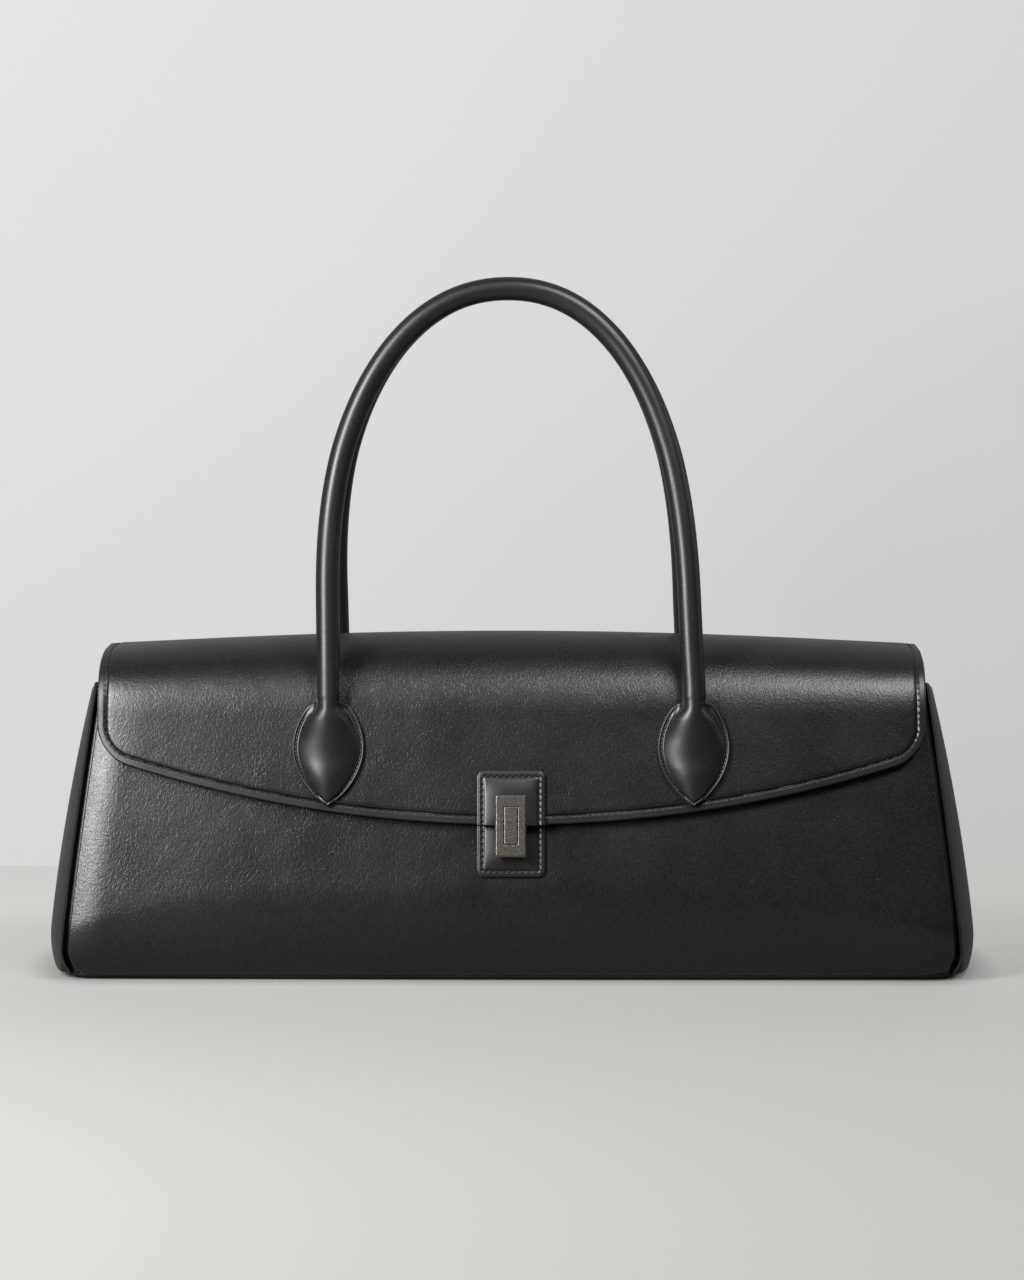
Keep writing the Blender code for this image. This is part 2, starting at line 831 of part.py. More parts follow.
def handle(prefix, plane):
    start = neck_length + socket_rim
    path = handle_path(plane, start)
    outer = sweep_rings(plane, path, [handle_radius] * len(path), 10)
    deep = neck_length + ball_radius + 1.2 * mm
    bore_path = [p for p in path[1:-1]]
    bore = sweep_rings(plane, bore_path, [handle_bore] * len(bore_path), 10)
    mouth = [(path[0][0], start), (path[-1][0], start)]
    lips = [
        ring_at(plane.at(x, s), plane.out, Vector((-1.0 if x < 0 else 1.0, 0.0, 0.0)), 3.9 * mm, 10)
        for x, s in mouth
    ]
    throat = [
        ring_at(
            plane.at(x, s + 0.4 * mm),
            plane.out,
            Vector((-1.0 if x < 0 else 1.0, 0.0, 0.0)),
            handle_bore,
            10,
        )
        for x, s in mouth
    ]
    rings = outer + [lips[1], throat[1]] + bore[::-1] + [throat[0], lips[0]]
    pipe(prefix + "_handle", rings, black_leather)
    core_path = handle_path(plane, deep, 20)
    core = sweep_rings(plane, core_path, [core_radius] * len(core_path), 6)
    stack(prefix + "_handle_core", core, cotton_cord)


def neck(name, plane, x):
    # a socket over the chape's ball below, a ball for the handle's socket above
    barrel_top = neck_length - 3.4 * mm
    outside = [
        (socket_rim, handle_radius),
        (barrel_top, handle_radius),
        (barrel_top + 0.8 * mm, stem_radius),
    ]
    outside += ball_profile(neck_length, stem_radius)
    inside = [
        (socket_rim, 3.9 * mm),
        (socket_rim + 0.4 * mm, handle_bore),
        (socket_rim + 3.0 * mm, handle_bore),
    ]
    return lathe(name, plane, x, inside[::-1] + outside, black_leather)


# Chape: a teardrop pad with a thin stitched rim and a dome that swells to the neck
def chape_outline(z):
    if z <= chape_widest:
        t = (z - chape_tip) / (chape_widest - chape_tip)
        return max(chape_half_width * (1.0 - (1.0 - t) ** 2) ** 0.8, 1.0 * mm)
    t = (z - chape_widest) / (chape_top - chape_widest)
    return chape_half_width - (chape_half_width - chape_top_half_width) * t**1.9


def chape(name, plane, x_centre, surface, crest_top):
    steps = 9
    shares = np.array([-1.0, -0.84, -0.6, -0.32, 0.0, 0.32, 0.6, 0.84, 1.0])
    front = []
    back = []
    for k in range(steps + 1):
        t = k / steps
        z = chape_tip + (chape_top - chape_tip) * t**1.15
        half = chape_outline(z)
        crest = chape_rim_thickness + (crest_top - chape_rim_thickness) * t**1.8
        top_row = []
        low_row = []
        for share in shares:
            x = x_centre + share * half
            inner = max(half - chape_rim, 0.6 * mm)
            swell = max(1.0 - (abs(share) * half / inner) ** 2, 0.0)
            rise = chape_rim_thickness + (crest - chape_rim_thickness) * swell ** (0.9 - 0.3 * t)
            base = surface(x, z)
            top_row.append((x, plane.side * (base + gap + rise), z))
            low_row.append((x, plane.side * (base + gap), z))
        front.append(top_row)
        back.append(low_row)
    pad = shell(name, np.array(front), np.array(back), black_leather)
    profile = [(-9.0 * mm, 3.2 * mm), (-4.2 * mm, stem_radius)] + ball_profile(0.0, stem_radius)
    stem = lathe(name + "_stem_adder", plane, x_centre, profile, black_leather)
    cut(pad, stem, "UNION")
    return pad


def flap_face(x, z):
    return body_surface(x, z, flap_off_body)


def back_face(x, z):
    return body_surface(x, z)


neck_clearance = handle_radius + 0.6 * mm
for prefix, side, surface, root_z in (
    ("front", -1, flap_face, front_neck_height),
    ("back", 1, back_face, back_neck_height),
):
    root_y = float(surface(handle_half_span, root_z)) + neck_clearance
    plane = HandlePlane(side, root_y, root_z)
    handle(prefix, plane)
    for x, word in ((-handle_half_span, "left"), (handle_half_span, "right")):
        neck(f"{prefix}_{word}_neck", plane, x)
        chape(f"{prefix}_{word}_chape", plane, x, surface, neck_clearance + handle_radius - 0.9 * mm)
    hinge = plane.at(0.0, neck_length)
    print(prefix, "neck root", tuple(round(c, 5) for c in plane.root))
    print(prefix, "handle hinge", tuple(round(c, 5) for c in hinge))
print("lock origin", tuple(round(c, 5) for c in lock_origin), "normal", tuple(face_normal))
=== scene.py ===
import math

import bpy
import numpy as np
from mathutils import Matrix, Vector


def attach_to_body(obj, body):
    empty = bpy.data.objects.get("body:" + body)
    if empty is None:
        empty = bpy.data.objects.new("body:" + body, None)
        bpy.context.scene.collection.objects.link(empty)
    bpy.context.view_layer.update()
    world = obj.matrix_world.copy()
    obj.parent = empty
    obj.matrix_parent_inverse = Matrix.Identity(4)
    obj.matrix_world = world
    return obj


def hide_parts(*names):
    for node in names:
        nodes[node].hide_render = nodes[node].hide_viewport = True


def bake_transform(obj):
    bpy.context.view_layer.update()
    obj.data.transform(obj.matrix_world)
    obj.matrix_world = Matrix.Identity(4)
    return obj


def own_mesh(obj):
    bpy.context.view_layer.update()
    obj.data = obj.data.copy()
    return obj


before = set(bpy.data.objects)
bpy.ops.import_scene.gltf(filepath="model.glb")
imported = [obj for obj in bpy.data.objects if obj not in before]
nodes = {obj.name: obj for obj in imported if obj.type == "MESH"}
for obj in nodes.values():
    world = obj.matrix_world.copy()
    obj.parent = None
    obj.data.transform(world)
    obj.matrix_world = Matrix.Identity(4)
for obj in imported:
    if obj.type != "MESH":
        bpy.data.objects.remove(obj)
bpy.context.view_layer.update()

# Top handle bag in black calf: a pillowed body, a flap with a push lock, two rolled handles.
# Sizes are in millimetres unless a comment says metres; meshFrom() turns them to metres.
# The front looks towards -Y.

mm = 0.001


# Colours and nodes
def linearColour(text):
    # sRGB hex to linear: c / 12.92 in the dark, ((c + 0.055) / 1.055) ^ 2.4 above it
    values = [int(text[k : k + 2], 16) / 255 for k in (1, 3, 5)]
    return tuple(c / 12.92 if c <= 0.04045 else ((c + 0.055) / 1.055) ** 2.4 for c in values) + (1.0,)


def addNode(tree, kind, settings=None, links=None):
    # one node, its settings (socket numbers or names, with hex for a colour, plain properties, or
    # the stops of a colour ramp) and what feeds it: a socket, or a node for its first output
    node = tree.nodes.new("ShaderNode" + kind)
    for key, value in (settings or {}).items():
        if key == "stops":
            for stop, (share, colour) in zip(node.color_ramp.elements, value):
                stop.position = share
                stop.color = linearColour(colour)
        elif isinstance(key, int) or key in node.inputs:
            node.inputs[key].default_value = linearColour(value) if isinstance(value, str) else value
        else:
            setattr(node, key, value)
    for socket, source in (links or {}).items():
        tree.links.new(getattr(source, "outputs", [source])[0], node.inputs[socket])
    return node


def newMaterial(name):
    # an empty material, and the place on the piece that its patterns read
    made = bpy.data.materials.new(name)
    made.use_nodes = True
    tree = made.node_tree
    tree.nodes.clear()
    return made, tree, addNode(tree, "TexCoord").outputs["Object"]


def finishMaterial(made, settings, links):
    # the shader, with its own settings and what feeds it, and the output
    shader = addNode(made.node_tree, "BsdfPrincipled", settings, links)
    addNode(made.node_tree, "OutputMaterial", {}, {0: shader})
    return made


# Calf leather, drum dyed black, milled until a soft wandering grain rises, with a satin wax.
# The grain breaks the highlight into small flecks; the wax keeps the highlight low and close.
# pore size and share, wax patch size and gloss shift, and where the ramp of painted shade in the grain's
# hollows and painted light on its ridges starts and ends
hide = {"pore": 0.35, "poreShare": 0.04, "waxPatch": 30.0, "waxShift": 0.03, "dyed": 0.4, "litRidges": 0.62}


def calfLeather(name, colour, roughness, grain):
    # height = wrinkles + 0.04 x pores, and the colour runs from the dye to the ridge as wrinkles rise, as
    # painted shade and light
    made, tree, place = newMaterial(name)
    # the grain's direction wanders over the hide: the place is pushed about by a broad noise
    broad = {"Scale": 1 / (grain["wander"] * mm), "Detail": 1.0}
    wander = addNode(tree, "TexNoise", broad, {"Vector": place})
    push = {"operation": "MULTIPLY_ADD", 1: (grain["wander"] * 0.5 * mm,) * 3}
    bent = addNode(tree, "VectorMath", push, {0: wander.outputs["Color"], 2: place})
    stretch = {"Scale": (1.0, 1.0, 1.0 / grain["stretch"])}
    stretched = addNode(tree, "Mapping", stretch, {"Vector": bent})
    fine = {"Scale": 1 / (grain["size"] * mm), "Detail": 2.0, "Roughness": 0.5, "Distortion": grain["curl"]}
    wrinkle = addNode(tree, "TexNoise", fine, {"Vector": stretched})
    dots = {"Scale": 1 / (hide["pore"] * mm), "Detail": 2.0}
    pores = addNode(tree, "TexNoise", dots, {"Vector": place})
    sunk = {"operation": "MULTIPLY_ADD", 1: hide["poreShare"]}
    height = addNode(tree, "Math", sunk, {0: pores, 2: wrinkle})
    relief = {"Strength": 1.0, "Distance": grain["depth"] * mm}
    bump = addNode(tree, "Bump", relief, {"Height": height})
    # painted light on the grain's ridges and painted shade in its hollows: the colour runs from the leather's
    # own in the hollows to a lighter one on the ridges, so the grain still reads where no highlight falls
    stops = ((hide["dyed"], colour), (hide["litRidges"], grain["ridge"]))
    litRidges = addNode(tree, "ValToRGB", {"stops": stops}, {"Fac": wrinkle})
    # wax lies unevenly: broad patches shift the gloss a little
    clouds = {"Scale": 1 / (hide["waxPatch"] * mm), "Detail": 4.0}
    patches = addNode(tree, "TexNoise", clouds, {"Vector": place})
    low, high = roughness - hide["waxShift"], roughness + hide["waxShift"]
    shift = {"From Min": 0.3, "From Max": 0.7, "To Min": low, "To Max": high}
    gloss = addNode(tree, "MapRange", shift, {"Value": patches})
    settings = {"Base Color": colour, "Roughness": roughness, "Specular IOR Level": grain["shine"]}
    return finishMaterial(made, settings, {"Base Color": litRidges, "Roughness": gloss, "Normal": bump})


# size, wander and depth in mm; curl is the noise's distortion and shine the specular level; ridge is the
# lighter colour of the painted light on the grain's ridges
bodyGrain = {"size": 1.1, "stretch": 1.4, "wander": 14.0, "curl": 0.9, "depth": 0.12, "shine": 0.42}
smoothGrain = {"size": 1.2, "stretch": 1.0, "wander": 9.0, "curl": 0.6, "depth": 0.03, "shine": 0.4}
bodyCalf = calfLeather("grained_black_calf", "#070708", 0.35, {**bodyGrain, "ridge": "#101012"})
sideCalf = calfLeather("smooth_black_calf", "#0e0e0f", 0.38, {**smoothGrain, "ridge": "#131314"})
innerCalf = calfLeather("black_goat_facing", "#1a1918", 0.52, {**smoothGrain, "ridge": "#1d1c1b"})


# Edge paint: two coats of acrylic rolled on a sanded cut edge, with a ripple 1.6 mm long
def edgePaint():
    made, tree, place = newMaterial("black_edge_paint")
    ripple = addNode(tree, "TexNoise", {"Scale": 1 / (1.6 * mm), "Detail": 2.0}, {"Vector": place})
    bump = addNode(tree, "Bump", {"Strength": 0.25, "Distance": 0.05 * mm}, {"Height": ripple})
    return finishMaterial(made, {"Base Color": "#1b1b1c", "Roughness": 0.32}, {"Normal": bump})


# Waxed polyester thread: dull, a touch lighter than the leather, its plies slanting bands 1 mm apart
def waxedThread():
    made, tree, place = newMaterial("waxed_black_thread")
    bands = {"Scale": 1 / (2.4 * mm), "Distortion": 0.6, "bands_direction": "DIAGONAL"}
    plies = addNode(tree, "TexWave", bands, {"Vector": place}).outputs["Fac"]
    bump = addNode(tree, "Bump", {"Strength": 0.4, "Distance": 0.06 * mm}, {"Height": plies})
    settings = {"Base Color": "#161617", "Roughness": 0.66, "Specular IOR Level": 0.3}
    return finishMaterial(made, settings, {"Normal": bump})


# Cotton twill, piece dyed: yarn of 0.5 mm, a soft, matt face and diagonal ribs, which are 0.9 mm apart
# on the real cloth and 2.5 mm here, so that they show
def cottonTwill():
    made, tree, place = newMaterial("black_cotton_twill")
    slants = {"Scale": 1 / (5.6 * mm), "Distortion": 0.4, "Detail": 1.0, "bands_direction": "DIAGONAL"}
    ribs = addNode(tree, "TexWave", slants, {"Vector": place}).outputs["Fac"]
    yarn = addNode(tree, "TexNoise", {"Scale": 1 / (0.5 * mm), "Detail": 2.0}, {"Vector": place})
    height = addNode(tree, "Math", {"operation": "MULTIPLY_ADD", 1: 0.6}, {0: yarn, 2: ribs})
    bump = addNode(tree, "Bump", {"Strength": 0.5, "Distance": 0.12 * mm}, {"Height": height})
    stops = ((0.3, "#1c1b1a"), (0.75, "#2a2927"))
    shade = addNode(tree, "ValToRGB", {"stops": stops}, {"Fac": yarn})
    settings = {"Base Color": "#232221", "Roughness": 0.88, "Sheen Weight": 0.25}
    return finishMaterial(made, settings, {"Base Color": shade, "Normal": bump})


# Plated brass or steel: brushed along one way, so highlights spread across the brushing.
# A brush line is 0.08 mm wide on the real plate and 0.2 mm or more here, so that it shows.
def brushedMetal(name, colour, worn, roughness, lineStrength, lineWidth=0.2):
    made, tree, place = newMaterial(name)
    along = addNode(tree, "Mapping", {"Scale": (1.0, 1.0, 0.02)}, {"Vector": place})
    brush = {"Scale": 1 / (lineWidth * mm), "Detail": 3.0, "Roughness": 0.7}
    lines = addNode(tree, "TexNoise", brush, {"Vector": along})
    shift = {"From Min": 0.3, "From Max": 0.7, "To Min": roughness - 0.06, "To Max": roughness + 0.08}
    spread = addNode(tree, "MapRange", shift, {"Value": lines})
    # the plate's edges are softened by 0.45 mm, so that they catch the light as a thin line
    softened = addNode(tree, "Bevel", {"samples": 12, "Radius": 0.45 * mm})
    scratch = {"Strength": lineStrength, "Distance": 0.02 * mm}
    bump = addNode(tree, "Bump", scratch, {"Height": lines, "Normal": softened})
    # worn between the lines, the plating is a little darker
    stops = ((0.35, worn), (0.65, colour))
    shade = addNode(tree, "ValToRGB", {"stops": stops}, {"Fac": lines})
    settings = {"Base Color": colour, "Metallic": 1.0, "Roughness": roughness}
    return finishMaterial(made, settings, {"Base Color": shade, "Roughness": spread, "Normal": bump})


# Grey board and cotton cord: fibres that show as a fine, matt speckle
def fibreStuff(name, colours, size, roughness):
    made, tree, place = newMaterial(name)
    speckle = {"Scale": 1 / (size * mm), "Detail": 5.0, "Roughness": 0.65}
    fibres = addNode(tree, "TexNoise", speckle, {"Vector": place})
    stops = ((0.35, colours[0]), (0.7, colours[1]))
    shade = addNode(tree, "ValToRGB", {"stops": stops}, {"Fac": fibres})
    bump = addNode(tree, "Bump", {"Strength": 0.5, "Distance": 0.08 * mm}, {"Height": fibres})
    settings = {"Base Color": colours[0], "Roughness": roughness}
    return finishMaterial(made, settings, {"Base Color": shade, "Normal": bump})


paint = edgePaint()
thread = waxedThread()
twill = cottonTwill()
gunmetal = brushedMetal("brushed_gunmetal_plating", "#716c68", "#65615d", 0.36, 0.05, 0.3)
nickelSteel = brushedMetal("nickelled_steel", "#b9b8b6", "#a6a5a3", 0.28, 0.2)
springSteel = brushedMetal("spring_steel_wire", "#a3a2a0", "#8e8d8b", 0.3, 0.1)
greyBoard = fibreStuff("grey_bookbinding_board", ["#8d8378", "#a89c8d"], 1.2, 0.9)
cottonCord = fibreStuff("twisted_cotton_cord", ["#cfc7b8", "#e2dccf"], 0.6, 0.92)
print("materials made")


# Mesh tools
def meshFrom(name, points, faces, materials, tags=None, smoothAngle=50.0):
    # points in mm and faces as index rows; the whole shell is turned over if its signed volume,
    # the sum of a . (b x c) / 6 over its triangles, comes out negative
    points = np.asarray(points, float)
    a, b, c, d = (points[faces[:, k]] for k in range(4))
    volume = np.einsum("ij,ij->i", a, np.cross(b, c)).sum() + np.einsum("ij,ij->i", a, np.cross(c, d)).sum()
    rows = [row[:3] if row[2] == row[3] else row for row in faces.tolist()]
    if volume < 0:
        rows = [row[::-1] for row in rows]
    mesh = bpy.data.meshes.new(name)
    mesh.from_pydata((points * mm).tolist(), [], rows)
    for one in materials:
        mesh.materials.append(one)
    if tags is not None:
        mesh.polygons.foreach_set("material_index", np.asarray(tags, np.int32))
    mesh.shade_smooth()
    mesh.set_sharp_from_angle(angle=math.radians(smoothAngle))
    mesh.validate()
    made = bpy.data.objects.new(name, mesh)
    bpy.context.scene.collection.objects.link(made)
    return made


def dress(piece, finish, *parts):
    # the piece and its finish are not used; the CAD parts that it stands for are hidden
    if parts:
        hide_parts(*parts)


def attach(piece, rider, finish, *parts):
    # the same for a piece that moves with one body
    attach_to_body(piece, rider)
    dress(piece, finish, *parts)


def unit(v):
    # v over its own length
    return v / np.maximum(np.linalg.norm(v, axis=-1, keepdims=True), 1e-9)


def smoothStep(t):
    # 3 t^2 - 2 t^3, with t kept from 0 to 1
    t = np.clip(t, 0.0, 1.0)
    return t * t * (3 - 2 * t)


def rampUp(value, span):
    # a smooth step that starts at span[0] and takes span[1]
    return smoothStep((value - span[0]) / span[1])


def crowdedSpan(count):
    # -1 to 1, closer together near both ends: sin(a)
    return np.sin(np.linspace(-math.pi / 2, math.pi / 2, count))


def sideBySide(*parts):
    # x, y and z, or a face's corners, each spread over the whole grid and laid side by side
    return np.stack(np.broadcast_arrays(*parts), axis=-1)


def joined(*parts, axis=0):
    # the parts one after the other, in one array
    return np.concatenate(parts, axis)


def crease(distance, place, size):
    # a pressed line: depth x exp(-((distance - place) / width)^2), size being depth and width
    return size[0] * np.exp(-(((distance - place) / size[1]) ** 2))


def gridFaces(index):
    # the four corners of every cell of a grid of point numbers
    return sideBySide(index[:-1, :-1], index[:-1, 1:], index[1:, 1:], index[1:, :-1]).reshape(-1, 4)


def loopFaces(index):
    # the same for closed rings, with a fan to one more point at each end
    first, last, centre = index[0], index[-1], index.size
    sides = gridFaces(joined(index, index[:, :1], axis=1))
    foot = sideBySide(np.roll(first, -1), first, centre, centre)
    head = sideBySide(last, np.roll(last, -1), centre + 1, centre + 1)
    return joined(sides, foot, head)


def closedShell(name, outer, inner, bulge, materials, zone=None):
    # two skins of one grid, joined by a rounded rim:
    # middle + half the thickness x cos(t) + outwards x bulge x sin(t), t from 0 to pi.
    # zone gives the outer skin's cells their materials; the rim takes the last one.
    loops = 4
    rows, columns = outer.shape[:2]
    count = rows * columns
    index = np.arange(count).reshape(rows, columns)
    walk = joined(index[0, :-1], index[:-1, -1], index[-1, :0:-1], index[:0:-1, 0])
    inward = joined(index[1, :-1], index[:-1, -2], index[-2, :0:-1], index[:0:-1, 1])
    top = outer.reshape(-1, 3)
    low = inner.reshape(-1, 3)
    middle = (top[walk] + low[walk]) / 2
    half = (top[walk] - low[walk]) / 2
    along = unit(np.roll(middle, -1, axis=0) - np.roll(middle, 1, axis=0))
    out = middle - (top[inward] + low[inward]) / 2
    out = out - along * (out * along).sum(-1, keepdims=True)
    through = unit(half)
    out = unit(out - through * (out * through).sum(-1, keepdims=True))
    turns = np.linspace(0, math.pi, loops + 2)[1:-1]
    rims = [middle + half * math.cos(t) + out * (bulge * math.sin(t)) for t in turns]
    points = joined(top, low, *rims)
    around = 2 * count + np.arange(loops * len(walk)).reshape(loops, len(walk))
    rings = [walk, *around, walk + count]
    faces = [gridFaces(index), gridFaces(index + count)[:, ::-1]]
    tags = [np.zeros(len(faces[0])) if zone is None else zone.ravel(), np.zeros(len(faces[0]))]
    for a, b in zip(rings, rings[1:]):
        faces.append(sideBySide(np.roll(a, -1), a, b, np.roll(b, -1)))
        tags.append(np.full(len(walk), len(materials) - 1))
    return meshFrom(name, points, joined(*faces), materials, joined(*tags))


def loftRings(name, rings, materials):
    # closed rings of equal counts, one after another, with a fan to the middle at each end
    rings = np.asarray(rings, float)
    count, size = rings.shape[:2]
    points = joined(rings.reshape(-1, 3), rings[[0, -1]].mean(axis=1))
    return meshFrom(name, points, loopFaces(np.arange(count * size).reshape(count, size)), materials)


def resample(path, pitch):
    # points one pitch apart along a polyline, with the direction of travel over 0.6 mm at each
    steps = np.linalg.norm(np.diff(path, axis=0), axis=1)
    reach = joined([0.0], np.cumsum(steps))
    wanted = np.arange(pitch / 2, reach[-1], pitch)
    at, ahead, behind = (
        sideBySide(*(np.interp(wanted + shift, reach, line) for line in path.T)) for shift in (0.0, 0.3, -0.3)
    )
    return at, unit(ahead - behind)


def stitches(name, at, along, out, size, slant=0.0):
    # each stitch is a capsule: radius x sqrt(1 - t^2) round its line, its ends bent into the leather
    # by dip x t^2; slant turns it off the seam line. size holds length, width, height and dip.
    # Its points are four rings of six and two tips.
    turned = unit(along + np.cross(out, along) * slant)
    across = unit(np.cross(out, turned))
    tips = [at + turned * (end * size["length"] / 2) - out * size["dip"] for end in (-1, 1)]
    t = np.array([-0.82, -0.35, 0.35, 0.82])[:, None, None]
    angle = (np.arange(6) * math.pi / 3)[:, None]
    swell = np.sqrt(1 - t**2)
    count = len(at)
    start, turned, across, out = (v[:, None, None, :] for v in (at, turned, across, out))
    body = start + turned * t * size["length"] / 2 + across * (swell * np.cos(angle) * size["width"] / 2)
    body = body + out * (swell * np.sin(angle) * size["height"] / 2 - size["dip"] * t**2)
    rings = np.arange(24).reshape(4, 6)
    points = joined(body.reshape(count, rings.size, 3), np.stack(tips, axis=1), axis=1)
    first = np.arange(count)[:, None, None] * (rings.size + 2)
    faces = (loopFaces(rings)[None] + first).reshape(-1, 4)
    return meshFrom(name, points.reshape(-1, 3), faces, [thread], smoothAngle=80.0)


# The body's outline
body = {
    "rimHeight": 120.0,
    "baseHalfWidth": 191.3,
    "widthTaper": 13.8,
    "waistHalfDepth": 54.4,
    "waistHeight": 44.0,
    "waistDrop": 20.0,
    "waistReach": 190.0,  # where the waist has dropped in full
    "cornerHeight": 11.0,
    "cornerInset": 5.0,
    "cornerLift": 1.2,
    "lean": 0.232,
    "tuck": 14.5,
    "belly": 3.5,
    "leather": 1.8,
    "panelBottom": 2.6,
    "edgeRound": 3.0,  # how far a panel rolls back at its side seam
    "edgeRoundWidth": 17.0,
    "seamInset": 3.1,  # the front and back panels end this far inside the seam's outer edge
    "hornHeight": 4.4,  # the side seams end this much above the rim, beside the flap
}


def halfWidth(z):
    # 191.3 - 13.8 (z / 120)^1.2
    return body["baseHalfWidth"] - body["widthTaper"] * (np.maximum(z, 0.0) / body["rimHeight"]) ** 1.2


def halfDepth(z, x=0.0):
    # a straight lean, rolled in under the waist w = 44 - 20 |x / 190|^4:
    # 54.4 - 0.232 (z - 44) - 14.5 (1 - z / w)^2.2
    aside = np.minimum(np.abs(x) / body["waistReach"], 1.0)
    waist = body["waistHeight"] - body["waistDrop"] * aside**4
    under = np.clip(1 - z / waist, 0, 1)
    return body["waistHalfDepth"] - body["lean"] * (z - body["waistHeight"]) - body["tuck"] * under**2.2


def bodySurface(x, z, off=0.0):
    # half the depth, a belly that is full in the middle, and off square to the face
    across = 1 - (x / halfWidth(z)) ** 2
    up = 0.45 + 0.55 * np.sin(math.pi * np.clip(z / body["rimHeight"], 0, 1))
    return halfDepth(z, x) + body["belly"] * across * up + off * math.sqrt(1 + body["lean"] ** 2)


faceOut = unit(np.array([0.0, -1.0, body["lean"]]))  # square to the body's front


def sideRoll(x, z):
    # the pillow's shoulder: 3 x ((|x| - start) / 17)^2 beyond start
    start = halfWidth(z) - body["edgeRoundWidth"]
    return body["edgeRound"] * np.clip((np.abs(x) - start) / body["edgeRoundWidth"], 0, 1.1) ** 2


def footInset(z):
    # the bottom corners are rounded off: 5 (1 - (z - 2.6) / 11)^2
    return body["cornerInset"] * np.clip(1 - (z - body["panelBottom"]) / body["cornerHeight"], 0, 1) ** 2


def frontGrid(off):
    # x = sin(a) x the half width inside the seams and z from foot to rim, with a horn of 4.4 share^4 at
    # the top of each seam and a lift of 1.2 (1 - share)^8 at its foot; y is the body's less the roll
    share = np.linspace(0, 1, 90)[:, None]
    z = body["panelBottom"] + (body["rimHeight"] - body["panelBottom"]) * share
    x = crowdedSpan(150)[None, :] * (halfWidth(z) - body["seamInset"])
    horn = body["hornHeight"] * smoothStep((np.abs(x) - halfWidth(z) + 13) / 10)
    foot = body["cornerLift"] * smoothStep((np.abs(x) - halfWidth(z) + 17) / 14) ** 2
    z = z + horn * share**4 + foot * (1 - share) ** 8
    x = crowdedSpan(150)[None, :] * (halfWidth(z) - body["seamInset"] - footInset(z))
    return sideBySide(x, -(bodySurface(x, z, off) - sideRoll(x, z)), z)


frontSkins = frontGrid(0.0), frontGrid(-body["leather"])
frontPanel = closedShell("frontPanelLeather", *frontSkins, 0.5, [bodyCalf, paint])
attach(frontPanel, "bag_body", "black_leather", "front_panel")
print("front panel made")

# Gussets
gusset = {
    "bulge": 10.0,
    "bulgeLoss": 5.8,
    "footLoss": 3.9,
    "footHeight": 18.0,
    "belowPanel": 0.3,
    "flange": 5.5,
    "leather": 1.6,
    "behind": 1.85,
    "tip": 0.7,
    "lip": 2.3,
    "gutter": 3.5,
}
# shares of the flange's width from its tip, close together where the lip and the gutter turn
flangeShares = [0.0, 0.03, 0.06, 0.09, 0.12, 0.14, 0.16, 0.18, 0.2, 0.24, 0.32, 0.42, 0.52, 0.62, 0.78]


def flangeFace(x, z):
    # just behind the panel that the flange is sewn to
    return bodySurface(x, z) - sideRoll(x, z) - gusset["behind"]


def gussetWall(y, z, reach):
    # folded out of the seam, then a broad bulge: W - 5.5 t^60 + bulge (1 - t^2.5), t = |y / reach|
    bulge = gusset["bulge"] - gusset["bulgeLoss"] * (z / body["rimHeight"]) ** 2.2
    bulge = bulge - gusset["footLoss"] * np.clip(1 - z / gusset["footHeight"], 0, 1) ** 2
    t = np.abs(y / reach)
    return halfWidth(z) - gusset["flange"] * t**60 + bulge * (1 - t**2.5)


def gussetGrid(side, outside):
    # front flange, wall and back flange side by side; the horns rise with share^4 like the panel's
    share = np.linspace(0, 1, 70)[:, None]
    strip = np.array(flangeShares)[None, :]
    edge = len(flangeShares)
    wall = crowdedSpan(61)[None, :]
    seams = np.ones_like(strip)
    horn = joined(seams, smoothStep((np.abs(wall) - 0.75) / 0.22), seams, axis=1)
    low = body["panelBottom"] - gusset["belowPanel"]
    height = low + (body["rimHeight"] - low) * share + body["hornHeight"] * horn * share**4
    z = height[:, :1]
    wallZ = height[:, edge:-edge]
    root = halfWidth(z) - gusset["flange"]
    tip = halfWidth(z) + gusset["tip"] - footInset(z) * 0.9
    drop = gusset["leather"] if outside else 0.0
    inward = 0.0 if outside else gusset["leather"]
    flangeX = tip + (root - tip) * strip
    # the flange's edge is turned up into a lip that stands 2.3 mm beside the panel, its top sloping
    # outwards so that it catches the light, with a gutter 3.5 mm deep between it and the panel
    gutter = gusset["gutter"] * smoothStep((strip - 0.14) / 0.1) * (1 - smoothStep((strip - 0.45) / 0.2))
    slope = 0.84 + 0.16 * np.clip(strip / 0.12, 0, 1)
    lip = gusset["lip"] * slope * (1 - smoothStep((strip - 0.12) / 0.08))
    flangeY = flangeFace(flangeX, z) - drop + lip - gutter
    wallReach = flangeFace(halfWidth(wallZ) - gusset["flange"], wallZ) - gusset["leather"]
    wallY = wall * (wallReach + inward)
    wallX = gussetWall(np.clip(wallY, -wallReach, wallReach), wallZ, wallReach) - inward
    x = joined(flangeX, wallX, flangeX[:, ::-1], axis=1)
    y = joined(-flangeY, wallY, flangeY[:, ::-1], axis=1)
    return sideBySide(side * x, y, height)


for side, word in ((-1, "left"), (1, "right")):
    skins = gussetGrid(side, True), gussetGrid(side, False)
    made = closedShell(word + "GussetLeather", *skins, 0.55, [sideCalf, paint])
    attach(made, "bag_body", "black_leather", word + "_gusset")
print("gussets made")

# Base
base = {
    "thickness": 4.0,
    "halfDepth": 49.4,
    "halfWidth": 189.2,
    "corner": 9.0,
    "endBulge": 6.4,
    "bow": 1.7,
    "round": 1.6,
}


